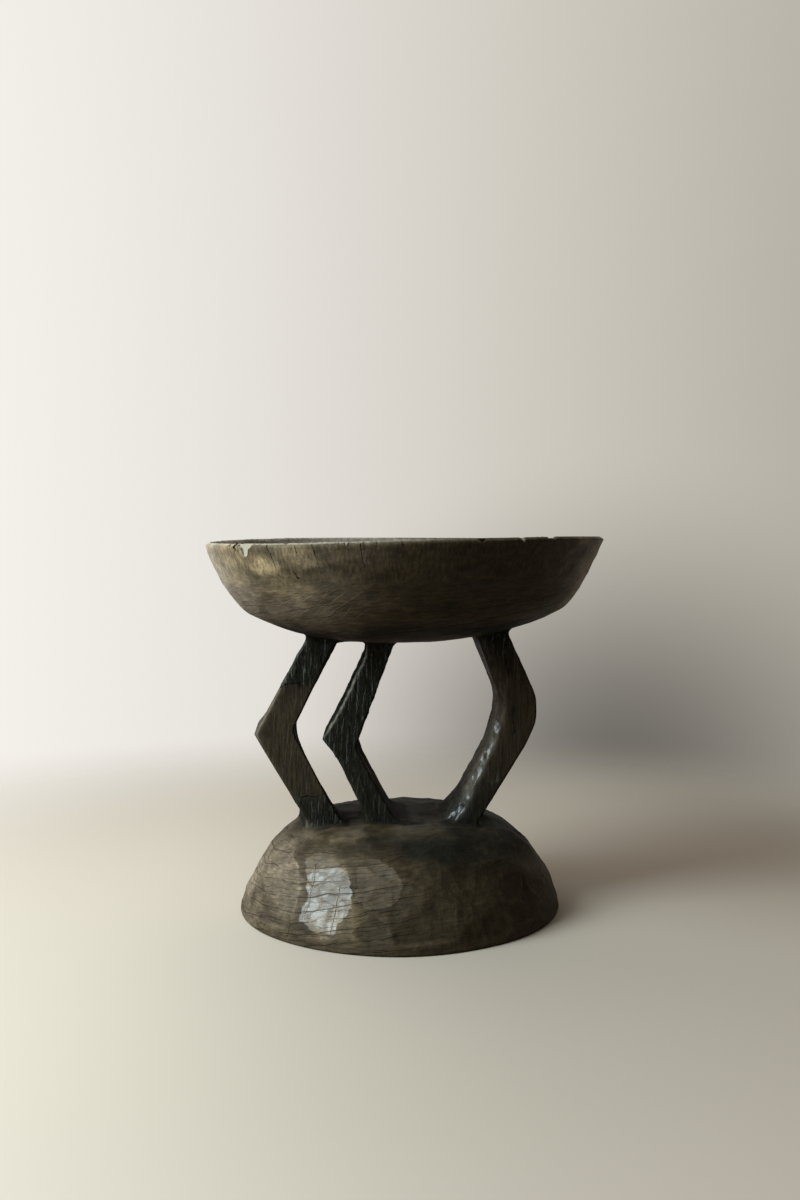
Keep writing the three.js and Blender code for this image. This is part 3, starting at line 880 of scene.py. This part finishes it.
def curvature(mesh, points):
    """Mean curvature at each vertex: positive on ridges and negative in hollows."""
    pairs = np.empty(len(mesh.edges) * 2, np.int32)
    mesh.edges.foreach_get("vertices", pairs)
    pairs = pairs.reshape(-1, 2)
    normals = np.empty(len(points) * 3, np.float32)
    mesh.vertices.foreach_get("normal", normals)
    normals = normals.reshape(-1, 3)
    total, count = np.zeros(len(points)), np.zeros(len(points))
    for a, b in ((pairs[:, 0], pairs[:, 1]), (pairs[:, 1], pairs[:, 0])):
        step = points[b] - points[a]
        bend = -2 * np.einsum("ij,ij->i", normals[a], step) / np.einsum("ij,ij->i", step, step)
        np.add.at(total, a, np.clip(bend, -0.5, 0.5))
        np.add.at(count, a, 1)
    bend = total / np.maximum(count, 1)
    for _ in range(2):
        total = np.zeros(len(points))
        np.add.at(total, pairs[:, 0], bend[pairs[:, 1]])
        np.add.at(total, pairs[:, 1], bend[pairs[:, 0]])
        bend = 0.5 * bend + 0.5 * total / np.maximum(count, 1)
    return bend


def write_masks(mesh, forms):
    points = points_of(mesh) / MM
    x, y, z = points.T
    zone, apart = zones(forms, points)
    bend = curvature(mesh, points)
    dark = ellipsoids(points, DARK_STAINS_AND_SHADOWS, 21)
    smoke = np.zeros(len(points))
    normals = np.empty(len(points) * 3, np.float32)
    mesh.vertices.foreach_get("normal", normals)
    rightward = normals[::3]
    wavy = z + 9 * np.sin(0.13 * y + 0.07 * x) * smoothstep(-37, -15, y)
    # Legs: darker up each leg by their table, and painted shade on the sides that face right.
    for name in forms.planks:
        on = zone == name
        smoke[on] = np.maximum(share_at(LEG_DARKNESS[name], wavy[on]), 1.2 * smoothstep(0.4, 0.8, rightward[on]))
    # Base: darker on the plateau behind the legs' fronts, and painted shade towards its right side.
    on_base = zone == "base"
    plateau = smoothstep(74, 84, z)
    right = 0.06 * smoothstep(-50, 0, x) + 0.52 * smoothstep(-10, 60, x) * smoothstep(44, 72, z)
    smoke[on_base] = np.maximum(0.6 * plateau * smoothstep(-60, -38, y), right)[on_base]
    radius, height = forms.in_seat(x, y, z)
    on_seat = zone == "seat"
    # Seat: darker on the bowl's underside, partly smoke and partly painted shade.
    smoke[on_seat] = (0.62 * smoothstep(36, 16, height) * smoothstep(-2, 14, height))[on_seat]
    dish = np.interp(radius, forms.inside[::-1, 0], forms.inside[::-1, 1])
    inside = on_seat * smoothstep(3, 1, np.abs(height - dish)) * smoothstep(186, 182, radius)
    # Paler inside the bowl, as dust and as painted light on the far wall, and a painted highlight along the rim's
    # top towards the left.
    dust = np.maximum(inside * (0.16 + 0.84 * smoothstep(66, 88, height)),
                      on_seat * smoothstep(96.5, 98.5, height) * (0.05 + 0.6 * smoothstep(70, -90, x)))
    polish = ellipsoids(points, POLISH, 24)
    pale = ellipsoids(points, PALE_AND_LIT, 23)
    flat, shine, dusty = np.zeros((3, len(points)))
    for outline, how_shiny, painted_sheen_share in POLISHED_FLATS:
        outline = np.array(outline, float)
        away = Section(outline, outline.min(0) - 8, outline.max(0) + 8)(x, z)
        within = on_base * (y < -60) * smoothstep(FLAT_EDGE, -FLAT_EDGE, away)
        here = within > flat
        flat[here], shine[here], dusty[here] = within[here], how_shiny, painted_sheen_share
    scratch = np.zeros(len(points))
    for name, (face, _, bevels) in forms.planks.items():
        across, on, size = forms.in_leg(name, x, y, z), zone == name, share_at(bevels, z)
        low, high, soft, dust_and_highlight, shinier = BEVEL_WEAR[name]
        strip = smoothstep(-1.6 * soft, 0.4 * soft, face(across, z) + size)
        strip *= smoothstep(soft, -soft, y - forms.front - size) * on * (across < centre_line(name, z))
        strip *= smoothstep(*low, z) * smoothstep(*high, z)
        # The bevel strips get dust and a painted highlight.
        dust = np.maximum(dust, dust_and_highlight * strip)
        here = strip > flat
        flat[here], shine[here] = strip[here], shinier
        # Painted highlight along the chisel lines on the legs' fronts.
        scratch[on] = (share_at(CHISEL_LINES[name], z) * smoothstep(-34, -38, y))[on]
    arcs = ellipsoids(points, [ARCS], 25) * on_seat
    marks = np.where(on_seat, 0.5, 0.35)
    for name in forms.planks:
        on = zone == name
        marks[on] = 2.2 * np.clip(share_at(LEG_GOUGING[name], z[on]), 0.12, None)
        if name == "right":
            marks[on & (rightward < -0.5)] = 1.8
    smooth_side = smoothstep(-20, 40, x)
    level = np.where(on_base, smoothstep(82, 70, z) * (1 - 0.65 * smooth_side),
                     np.where(on_seat, smoothstep(62, 30, height) * (1 - inside), 0.0))
    turned = np.where(on_base, 0.85 - 0.4 * smooth_side, np.where(on_seat, smoothstep(74, 52, height), 0.0))
    masks = {
        "stain": dark, "worn": ellipsoids(points, OLIVE_WEAR, 22), "smoke": smoke,
        "ridge": np.clip(bend / 0.06, 0, 1), "hollow": np.clip(-bend / 0.06, 0, 1),
        "pale": pale,
        "marks": marks, "level": level, "turned": turned,
        "corner": smoothstep(9, 0, apart), "dust": dust, "scratch": scratch, "arcs": arcs,
        "flat": flat, "shine": shine, "dusty": dusty, "even": 0.6 * inside,
        "polish": polish * smoothstep(0, 6, apart),
    }
    for name, values in masks.items():
        mesh.attributes.new(name, "FLOAT", "POINT").data.foreach_set("value", values.astype(np.float32))


# --- the finish ---

class Shader:
    """Short ways to place and join shader nodes in one tree."""

    def __init__(self, tree):
        self.tree = tree
        self.nodes = tree.nodes
        self.link = tree.links.new

    def node(self, kind, settings=(), **sockets):
        node = self.nodes.new(kind)
        for name, value in dict(settings).items():
            setattr(node, name, value)
        for name, value in sockets.items():
            socket = node.inputs[int(name[1:]) if name[0] == "_" and name[1:].isdigit()
                                 else name.replace("_", " ")]
            if isinstance(value, bpy.types.NodeSocket):
                self.link(value, socket)
            else:
                socket.default_value = value
        return node

    def math(self, operation, a, b=0.5):
        return self.node("ShaderNodeMath", {"operation": operation}, _0=a, _1=b).outputs[0]

    def mix(self, factor, a, b, blend="MIX"):
        node = self.node("ShaderNodeMix", {"data_type": "RGBA", "blend_type": blend},
                         _0=factor, _6=a, _7=b)
        return node.outputs[2]

    def ramp(self, value, low, high, start=0.0, end=1.0):
        node = self.node("ShaderNodeMapRange", {"interpolation_type": "SMOOTHSTEP"}, Value=value)
        node.inputs["From Min"].default_value = low
        node.inputs["From Max"].default_value = high
        node.inputs["To Min"].default_value = start
        node.inputs["To Max"].default_value = end
        return node.outputs[0]

    def mask(self, name):
        return self.node("ShaderNodeAttribute", {"attribute_name": name}).outputs["Fac"]

    def stretched(self, vector, scale):
        return self.node("ShaderNodeMapping", Vector=vector, Scale=scale).outputs[0]

    def noise(self, vector, scale, detail=4.0, roughness=0.55):
        return self.node("ShaderNodeTexNoise", Vector=vector, Scale=scale, Detail=detail,
                         Roughness=roughness).outputs["Fac"]


def effect(name, inputs, outputs):
    """An empty shader group with named inputs and outputs, and its tools."""
    tree = bpy.data.node_groups.new(name, "ShaderNodeTree")
    for label, kind, default in inputs:
        socket = tree.interface.new_socket(label, in_out="INPUT", socket_type=kind)
        if default is not None:
            socket.default_value = default
    for label, kind in outputs:
        tree.interface.new_socket(label, in_out="OUTPUT", socket_type=kind)
    shader = Shader(tree)
    return shader, shader.nodes.new("NodeGroupInput"), shader.nodes.new("NodeGroupOutput")


FLOAT, VECTOR, COLOR = "NodeSocketFloat", "NodeSocketVector", "NodeSocketColor"


def grain_effect():
    """Wood grain that runs up the block: soft streaks and fine pores."""
    s, given, out = effect(
        "Wood grain", [("Place", VECTOR, None), ("Streaks per metre", FLOAT, 340.0), ("Length", FLOAT, 9.0)],
        [("Streaks", FLOAT), ("Pores", FLOAT)])
    squeeze = s.node("ShaderNodeCombineXYZ", _0=1.0, _1=1.0,
                     _2=s.math("DIVIDE", 1.0, given.outputs["Length"])).outputs[0]
    bent = s.node("ShaderNodeVectorMath", {"operation": "MULTIPLY"}, _0=given.outputs["Place"], _1=squeeze)
    streaks = s.noise(bent.outputs[0], given.outputs["Streaks per metre"], 5.0, 0.6)
    pores = s.noise(bent.outputs[0], s.math("MULTIPLY", given.outputs["Streaks per metre"], 5.0), 3.0, 0.7)
    s.link(s.ramp(streaks, 0.3, 0.7), out.inputs["Streaks"])
    s.link(s.ramp(pores, 0.42, 0.75), out.inputs["Pores"])
    return s.tree


def blotch_effect():
    """Uneven patina: broad clouds and small mottling."""
    s, given, out = effect(
        "Patina", [("Place", VECTOR, None), ("Clouds per metre", FLOAT, 14.0)],
        [("Clouds", FLOAT), ("Mottle", FLOAT)])
    clouds = s.noise(given.outputs["Place"], given.outputs["Clouds per metre"], 5.0, 0.6)
    mottle = s.noise(given.outputs["Place"], s.math("MULTIPLY", given.outputs["Clouds per metre"], 9.0), 4.0, 0.6)
    s.link(s.ramp(clouds, 0.32, 0.68), out.inputs["Clouds"])
    s.link(s.ramp(mottle, 0.3, 0.7), out.inputs["Mottle"])
    return s.tree


def band_effect():
    """Level streaks, as a blade leaves them when it works round a form."""
    s, given, out = effect(
        "Level streaks", [("Place", VECTOR, None), ("Bands per metre", FLOAT, 520.0), ("Length", FLOAT, 7.0),
                          ("Slope", FLOAT, 0.12)],
        [("Bands", FLOAT)])
    split = s.node("ShaderNodeSeparateXYZ", _0=given.outputs["Place"])
    rise = s.math("SUBTRACT", split.outputs["Z"], s.math("MULTIPLY", split.outputs["X"], given.outputs["Slope"]))
    along = s.math("DIVIDE", given.outputs["Bands per metre"], given.outputs["Length"])
    place = s.node("ShaderNodeCombineXYZ", _0=s.math("MULTIPLY", split.outputs["X"], along),
                   _1=s.math("MULTIPLY", split.outputs["Y"], along),
                   _2=s.math("MULTIPLY", rise, given.outputs["Bands per metre"]))
    s.link(s.ramp(s.noise(place.outputs[0], 1.0, 6.0, 0.74), 0.33, 0.67), out.inputs["Bands"])
    return s.tree


def crackle_effect():
    """Fine surface cracks as broken wavy lines that run mostly level."""
    s, given, out = effect(
        "Fine cracks", [("Place", VECTOR, None), ("Cracks per metre", FLOAT, 104.0), ("Width", FLOAT, 0.07),
                        ("Along", FLOAT, 13.0), ("Across", FLOAT, 30.0), ("Broken", FLOAT, 0.39)],
        [("Lines", FLOAT)])
    total = None
    split = s.node("ShaderNodeSeparateXYZ", _0=given.outputs["Place"])
    rise = s.math("SUBTRACT", split.outputs["Z"], s.math("MULTIPLY", split.outputs["X"], 0.18))
    for finer, waver, strength in ((1.0, 1.5, 1.0), (2.3, 2.6, 0.8)):
        along = s.math("MULTIPLY", given.outputs["Along"], finer)
        flat = s.node("ShaderNodeCombineXYZ", _0=s.math("MULTIPLY", split.outputs["X"], along),
                      _1=s.math("MULTIPLY", split.outputs["Y"], along),
                      _2=s.math("MULTIPLY", split.outputs["Z"], s.math("MULTIPLY", given.outputs["Across"], finer)))
        flat = flat.outputs[0]
        wave = s.math("MULTIPLY", s.noise(flat, 1.0, 3.0), waver)
        count = s.math("MULTIPLY", rise, s.math("MULTIPLY", given.outputs["Cracks per metre"], finer))
        away = s.math("ABSOLUTE", s.math("SUBTRACT", s.math("FRACT", s.math("ADD", count, wave))))
        line = s.node("ShaderNodeMapRange", {"interpolation_type": "SMOOTHSTEP"}, Value=away)
        s.link(given.outputs["Width"], line.inputs["From Max"])
        line.inputs["To Min"].default_value = strength
        line.inputs["To Max"].default_value = 0.0
        broken = s.ramp(s.math("SUBTRACT", s.noise(flat, 2.3, 2.0), given.outputs["Broken"]), 0.0, 0.1)
        kept = s.math("MULTIPLY", line.outputs[0], broken)
        total = kept if total is None else s.math("MAXIMUM", total, kept)
    s.link(total, out.inputs["Lines"])
    return s.tree


def tool_effect():
    """Marks of an edge tool: narrow scallops side by side, with sharp ridges between them."""
    s, given, out = effect(
        "Tool marks", [("Place", VECTOR, None), ("Finer", FLOAT, 2.6)], [("Scallops", FLOAT), ("Tone", FLOAT)])
    warp = s.node("ShaderNodeTexNoise", Vector=given.outputs["Place"], Scale=1.3, Detail=2.0)
    off = s.node("ShaderNodeVectorMath", {"operation": "SUBTRACT"}, _0=warp.outputs["Color"], _1=(0.5, 0.5, 0.5))
    place = s.node("ShaderNodeVectorMath", {"operation": "ADD"}, _0=given.outputs["Place"], _1=off.outputs[0])
    cells = s.node("ShaderNodeTexVoronoi", Vector=place.outputs[0], Scale=given.outputs["Finer"])
    tone = s.node("ShaderNodeSeparateColor", _0=cells.outputs["Color"])
    s.link(s.math("POWER", cells.outputs["Distance"], 2.0), out.inputs["Scallops"])
    s.link(tone.outputs[0], out.inputs["Tone"])
    return s.tree


def wood_material(finish):
    material = bpy.data.materials.new("Handled wood")
    material.use_nodes = True
    s = Shader(material.node_tree)
    surface = s.nodes["Principled BSDF"]
    place = s.node("ShaderNodeTexCoord").outputs["Object"]

    def group(tree, **sockets):
        return s.node("ShaderNodeGroup", {"node_tree": tree}, **sockets)

    grain = group(grain_effect(), Place=place)
    patina = group(blotch_effect(), Place=place)
    fine = crackle_effect()
    cracks = group(fine, Place=place)
    bands = group(band_effect(), Place=place)
    strokes = s.node("ShaderNodeAttribute", {"attribute_name": "stroke_place"}).outputs["Vector"]
    tool = group(tool_effect(), Place=strokes)
    brown, dark, stain, olive, pale, dust, scratch, fresh = (
        (*c, 1) for c in (finish.brown, finish.dark, finish.stain, finish.olive, finish.pale, finish.dust,
                          finish.scratch, finish.fresh))
    split = s.node("ShaderNodeSeparateXYZ", _0=place)
    leaned = s.math("ADD", split.outputs["X"], s.math("MULTIPLY", split.outputs["Z"], 0.1))
    upright = s.node("ShaderNodeCombineXYZ", _0=split.outputs["Z"], _1=split.outputs["Y"], _2=leaned).outputs[0]
    chisel = group(fine, Place=upright, Cracks_per_metre=170.0, Width=0.13, Along=26.0, Across=110.0, Broken=0.47)
    chisel = s.math("MULTIPLY", chisel.outputs["Lines"], s.mask("scratch"))
    tilted = s.node("ShaderNodeMapping", {"vector_type": "POINT"}, Vector=place, Rotation=(0, 0.42, 0)).outputs[0]
    swing = group(fine, Place=tilted, Cracks_per_metre=130.0, Width=0.1, Along=16.0, Across=34.0, Broken=0.42)
    swing = s.math("MULTIPLY", swing.outputs["Lines"], s.mask("arcs"))
    # Smoke and painted shade, broken up by clouds, mix the dark colour into the wood.
    smoke = s.math("ADD", s.mask("smoke"), s.math("MULTIPLY", s.math("SUBTRACT", patina.outputs["Clouds"]), 0.16))
    lobes = s.math("MULTIPLY", s.math("SUBTRACT", bands.outputs["Bands"]), 0.24)
    lobes = s.math("ADD", lobes, s.math("MULTIPLY", s.math("SUBTRACT", patina.outputs["Mottle"]), 0.3))
    flat = s.ramp(s.math("ADD", s.mask("flat"), lobes), 0.42, 0.58)
    # Paler: greyed wood with painted light, and painted sheen on the base's flats.
    greyed_and_lit = s.math("MAXIMUM", s.mask("pale"), s.math("MULTIPLY", flat, s.mask("dusty")))
    colour = s.mix(s.ramp(smoke, 0.05, 0.85), brown, dark)
    colour = s.mix(s.math("MULTIPLY", greyed_and_lit, s.ramp(patina.outputs["Clouds"], 0.0, 1.0, 0.82, 1.0)),
                   colour, pale)
    # Dust, painted light and painted highlight.
    colour = s.mix(s.mask("dust"), colour, dust)
    worn = s.math("MULTIPLY", s.mask("worn"), s.ramp(patina.outputs["Mottle"], 0.0, 0.7, 0.65, 1.0))
    colour = s.mix(worn, colour, olive)
    # Stains, and a painted shadow beside the middle foot.
    colour = s.mix(s.math("MULTIPLY", s.mask("stain"), 0.85), colour, stain)
    streaks = s.node("ShaderNodeMix", {"data_type": "FLOAT"}, _0=s.mask("turned"), _2=grain.outputs["Streaks"],
                     _3=bands.outputs["Bands"]).outputs[0]
    tone = s.ramp(streaks, 0.0, 1.0, 0.74, 1.26)
    tone = s.math("MULTIPLY", tone, s.ramp(patina.outputs["Mottle"], 0.0, 1.0, 0.94, 1.06))
    tone = s.math("MULTIPLY", tone, s.ramp(grain.outputs["Pores"], 0.0, 1.0, 1.0, 0.72))
    tone = s.math("MULTIPLY", tone, s.ramp(s.mask("hollow"), 0.0, 1.0, 1.0, 0.55))
    tone = s.math("MULTIPLY", tone, s.ramp(s.mask("ridge"), 0.0, 1.0, 1.0, 1.35))
    # Painted shade where two forms meet.
    tone = s.math("MULTIPLY", tone, s.ramp(s.mask("corner"), 0.0, 1.0, 1.0, 0.7))
    tone = s.math("MULTIPLY", tone, s.ramp(tool.outputs["Scallops"], 0.0, 0.6, 0.92, 1.18))
    tone = s.math("MULTIPLY", tone, s.ramp(tool.outputs["Tone"], 0.0, 1.0, 0.93, 1.08))
    lines = s.math("MULTIPLY", cracks.outputs["Lines"], s.mask("level"))
    tone = s.math("MULTIPLY", tone, s.ramp(lines, 0.0, 1.0, 1.0, 0.46))
    tone = s.node("ShaderNodeMix", {"data_type": "FLOAT"}, _0=s.mask("even"), _2=tone, _3=1.0).outputs[0]
    shade = s.node("ShaderNodeCombineColor", _0=tone, _1=tone, _2=tone).outputs[0]
    colour = s.mix(1.0, colour, shade, "MULTIPLY")
    # Painted highlight along the chisel lines.
    colour = s.mix(s.math("MULTIPLY", chisel, 0.6), colour, scratch)
    # Painted highlight along the adze arcs.
    colour = s.mix(s.math("MULTIPLY", swing, 0.3), colour, pale)
    colour = s.mix(s.mask("crack"), colour, (0.008, 0.007, 0.005, 1))
    bare = s.mix(s.ramp(grain.outputs["Pores"], 0.0, 1.0, 0.0, 0.6), fresh, olive)
    colour = s.mix(s.mask("chip"), colour, bare)
    s.link(colour, surface.inputs["Base Color"])
    rough = s.math("ADD", finish.roughness, s.ramp(patina.outputs["Clouds"], 0.0, 1.0, -0.05, 0.08))
    rough = s.math("ADD", rough, s.math("MULTIPLY", lines, 0.2))
    rough = s.math("ADD", rough, s.math("MULTIPLY", s.mask("smoke"), 0.3))
    rough = s.math("ADD", rough, s.math("MULTIPLY", s.mask("hollow"), 0.12))
    rough = s.math("MAXIMUM", rough, s.math("MULTIPLY", s.mask("chip"), 0.9))
    s.link(rough, surface.inputs["Roughness"])
    surface.inputs["Specular IOR Level"].default_value = finish.sheen
    coat = s.math("MAXIMUM", s.mask("polish"), s.math("MULTIPLY", flat, s.mask("shine")))
    coat = s.math("MULTIPLY", coat, s.ramp(lines, 0.0, 1.0, 1.0, 0.1))
    coat = s.math("MULTIPLY", coat, s.ramp(tool.outputs["Tone"], 0.1, 0.9, 0.6, 1.15))
    coat = s.math("MULTIPLY", coat, s.ramp(tool.outputs["Scallops"], 0.12, 0.4, 1.0, 0.45))
    s.link(s.math("MULTIPLY", coat, s.ramp(s.mask("hollow"), 0.0, 1.0, 1.0, 0.3)), surface.inputs["Coat Weight"])
    surface.inputs["Coat Roughness"].default_value = finish.polish
    height = s.math("MULTIPLY", streaks, 0.7)
    height = s.math("SUBTRACT", height, s.math("MULTIPLY", grain.outputs["Pores"], 0.08))
    height = s.math("ADD", height, s.math("MULTIPLY", tool.outputs["Scallops"], s.mask("marks")))
    height = s.math("SUBTRACT", height, s.math("MULTIPLY", lines, 1.2))
    height = s.math("ADD", height, s.math("MULTIPLY", s.math("MAXIMUM", chisel, swing), 0.5))
    height = s.math("ADD", height, s.math("MULTIPLY", patina.outputs["Mottle"], 0.2))
    bump = s.node("ShaderNodeBump", Height=height, Strength=0.6)
    bump.inputs["Distance"].default_value = 0.0006
    s.link(bump.outputs[0], surface.inputs["Normal"])
    return material


class STOOL_OT_carve(bpy.types.Operator):
    """Carve the stool and give it its finish"""
    bl_idname = "stool.carve"
    bl_label = "Carve stool"

    def execute(self, context):
        settings = context.scene.stool
        carving = settings.carving
        wood = wood_material(settings.wood)
        block, forms = carve_block(settings)
        plan_strokes(block.data, forms)
        tree = stroke_nodes()
        add_strokes(block, tree, "Adze", Depth=carving.hollow, Depth_attribute="adze_depth", Finer=1.0,
                    Ridge_wear=carving.ridge, Unevenness=0.3, Seed=carving.seed, Wood=wood)
        add_strokes(block, tree, "Small dents", Depth=carving.hollow * 0.16, Depth_attribute="adze_depth",
                    Finer=3.1, Ridge_wear=0.4, Unevenness=0.2, Seed=carving.seed + 1, Wood=wood)
        add_strokes(block, tree, "Gouge", Depth=carving.gouge, Depth_attribute="gouge_depth", Finer=1.0,
                    Ridge_wear=carving.ridge, Unevenness=0.5, Seed=carving.seed + 2, Wood=wood)
        bake_modifiers(block)
        thin = block.modifiers.new("Thin out", "DECIMATE")
        thin.ratio = min(1.0, carving.triangles / (2 * len(block.data.polygons)))
        bake_modifiers(block)
        surface = BVHTree.FromPolygons([v.co for v in block.data.vertices],
                                       [tuple(p.vertices) for p in block.data.polygons])
        cracks = join_cutters([crack_wedge(line, width, surface, k)
                               for k, (line, width) in enumerate(CRACKS)], "crack_cutter")
        slits = [(angle, [(-w / 2, 1.5), (-w * 0.3, -h), (w * 0.3, -h), (w / 2, 1.5)], 180.0)
                 for angle, w, h in SLITS]
        fresh = join_cutters([rim_block(forms, *chip) for chip in FRESH_CHIPS], "fresh_cutter")
        old = join_cutters([rim_block(forms, *chip) for chip in [*OLD_CHIPS, *slits]], "old_cutter")
        for cutter in (cracks, fresh, old):
            cut_away(block, cutter)
        for name in ("adze_depth", "gouge_depth"):
            block.data.attributes.remove(block.data.attributes[name])
        on_cutter(block.data, cracks, "crack")
        on_cutter(block.data, fresh, "chip")
        for cutter in (cracks, fresh, old):
            bpy.data.objects.remove(cutter)
        write_masks(block.data, forms)
        block.data.materials.clear()
        block.data.materials.append(wood)
        block.data.shade_smooth()
        block.data.set_sharp_from_angle(angle=math.radians(42))
        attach(block, "root")
        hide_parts("stool")
        return {"FINISHED"}


class STOOL_OT_stage(bpy.types.Operator):
    """Lay the floor, set the lights and place the camera"""
    bl_idname = "stool.stage"
    bl_label = "Set stage"

    def execute(self, context):
        settings = context.scene.stool.stage
        scene = context.scene
        floor_mesh = bpy.data.meshes.new("floor")
        reach = 3.0
        floor_mesh.from_pydata([(-reach, -reach, 0), (reach, -reach, 0), (reach, reach, 0), (-reach, reach, 0)],
                               [], [(0, 1, 2, 3)])
        floor = bpy.data.objects.new("floor", floor_mesh)
        scene.collection.objects.link(floor)
        floor.data.materials.append(self.floor_material(settings))
        window = bpy.data.lights.new("window", "AREA")
        window.shape = "RECTANGLE"
        window.size, window.size_y = 0.95, 1.05
        window.energy = settings.window
        window.color = (0.83, 0.975, 1.03)
        self.aim(scene, "window", window, Vector((-1.46, -0.71, 1.14)), Vector((0, 0, 0.15)))
        scene.world = self.air(settings)
        lens = bpy.data.cameras.new("camera")
        lens.lens, lens.sensor_width, lens.sensor_fit = 35, 36, "AUTO"
        lens.clip_start, lens.clip_end = 0.05, 50
        camera = bpy.data.objects.new("camera", lens)
        camera.location = (-0.0034, -1.1437, 0.3599)
        camera.rotation_euler = (math.radians(90) - math.atan(62 / 1167), 0, 0)
        scene.collection.objects.link(camera)
        scene.camera = camera
        scene.view_settings.view_transform = "Standard"
        return {"FINISHED"}

    @staticmethod
    def aim(scene, name, light, place, target):
        lamp = bpy.data.objects.new(name, light)
        lamp.location = place
        lamp.rotation_euler = (target - place).to_track_quat("-Z", "Y").to_euler()
        scene.collection.objects.link(lamp)

    @staticmethod
    def floor_material(settings):
        """A pale floor, with painted shade that darkens it towards the right, that fades out far from the stool."""
        material = bpy.data.materials.new("Pale floor")
        material.use_nodes = True
        s = Shader(material.node_tree)
        surface = s.nodes["Principled BSDF"]
        place = s.node("ShaderNodeTexCoord").outputs["Object"]
        seen = s.node("ShaderNodeLightPath").outputs["Is Camera Ray"]
        shaded = tuple(0.4 * c for c in settings.floor)
        split = s.node("ShaderNodeSeparateXYZ", _0=place)
        # Painted shade: the floor darkens towards the right.
        side = s.ramp(split.outputs["X"], -0.3, 0.12, 1.1, 0.86)
        tone = s.node("ShaderNodeCombineColor", _0=side, _1=side, _2=side).outputs[0]
        bare = s.mix(1.0, (*settings.floor, 1), tone, "MULTIPLY")
        s.link(s.mix(seen, (*shaded, 1), bare), surface.inputs["Base Color"])
        surface.inputs["Roughness"].default_value = 0.85
        away = s.node("ShaderNodeVectorMath", {"operation": "LENGTH"}, _0=place).outputs["Value"]
        s.link(s.ramp(away, 0.38, 1.05, 1.0, 0.0), surface.inputs["Alpha"])
        return material

    @staticmethod
    def air(settings):
        """Light from all around: bright on the left, dim on the right. To the camera, a backdrop with painted shade
        towards the right and a painted shadow beside the stool.
        """
        world = bpy.data.worlds.new("Air")
        world.use_nodes = True
        s = Shader(world.node_tree)
        sky = s.nodes["Background"]
        generated = s.node("ShaderNodeTexCoord").outputs["Generated"]
        way = s.node("ShaderNodeSeparateXYZ", _0=generated)
        pale = s.ramp(way.outputs["X"], 0.8, -0.6, 0.35 * settings.behind, settings.behind)
        dim = s.ramp(way.outputs["X"], 0.2, -0.9, settings.front, 4 * settings.front)
        around = s.node("ShaderNodeMix", {"data_type": "FLOAT"}, _2=dim, _3=pale)
        s.link(s.ramp(way.outputs["Y"], -0.1, 0.35), around.inputs[0])
        across = s.node("ShaderNodeVectorMath", {"operation": "SUBTRACT"}, _0=generated, _1=BACKDROP_SHADOW_PLACE)
        across = s.node("ShaderNodeVectorMath", {"operation": "DIVIDE"}, _0=across.outputs[0], _1=BACKDROP_SHADOW_REACH)
        across = s.node("ShaderNodeVectorMath", {"operation": "LENGTH"}, _0=across.outputs[0]).outputs["Value"]
        # To the camera: painted shade towards the right, and the painted shadow.
        seen = s.ramp(way.outputs["X"], 0.8, -0.667, 0.3, 1.0)
        seen = s.math("MULTIPLY", seen, s.ramp(across, 1.25, 0.0, 1.0, 0.28))
        amount = s.node("ShaderNodeMix", {"data_type": "FLOAT"}, _2=around.outputs[0], _3=seen)
        s.link(s.node("ShaderNodeLightPath").outputs["Is Camera Ray"], amount.inputs[0])
        tint = s.mix(s.ramp(way.outputs["X"], -0.2, 0.3), (1.0, 0.965, 0.91, 1), (1.0, 0.94, 0.82, 1))
        s.link(tint, sky.inputs["Color"])
        s.link(amount.outputs[0], sky.inputs["Strength"])
        return world


class StoolSettings(bpy.types.PropertyGroup):
    seat: PointerProperty(type=SeatSizes)
    base: PointerProperty(type=BaseSizes)
    legs: PointerProperty(type=LegSizes)
    carving: PointerProperty(type=CarvingSizes)
    wood: PointerProperty(type=WoodFinish)
    stage: PointerProperty(type=StageSettings)


class STOOL_PT_panel(bpy.types.Panel):
    """Sizes and colours of the stool"""
    bl_label = "Stool"
    bl_idname = "STOOL_PT_panel"
    bl_space_type = "VIEW_3D"
    bl_region_type = "UI"
    bl_category = "Stool"

    def draw(self, context):
        settings = context.scene.stool
        groups = (("Seat", "seat"), ("Base", "base"), ("Legs", "legs"), ("Carving", "carving"),
                  ("Wood", "wood"), ("Stage", "stage"))
        for label, name in groups:
            box = self.layout.box()
            box.label(text=label)
            group = getattr(settings, name)
            for prop in group.__annotations__:
                box.prop(group, prop)
        self.layout.operator("stool.carve")
        self.layout.operator("stool.stage")


CLASSES = (SeatSizes, BaseSizes, LegSizes, CarvingSizes, WoodFinish, StageSettings, StoolSettings,
           STOOL_OT_carve, STOOL_OT_stage, STOOL_PT_panel)


def register():
    for cls in CLASSES:
        bpy.utils.register_class(cls)
    bpy.types.Scene.stool = PointerProperty(type=StoolSettings)


def unregister():
    del bpy.types.Scene.stool
    for cls in reversed(CLASSES):
        bpy.utils.unregister_class(cls)


def main():
    register()
    bpy.ops.stool.carve()
    bpy.ops.stool.stage()


if __name__ == "__main__":
    main()
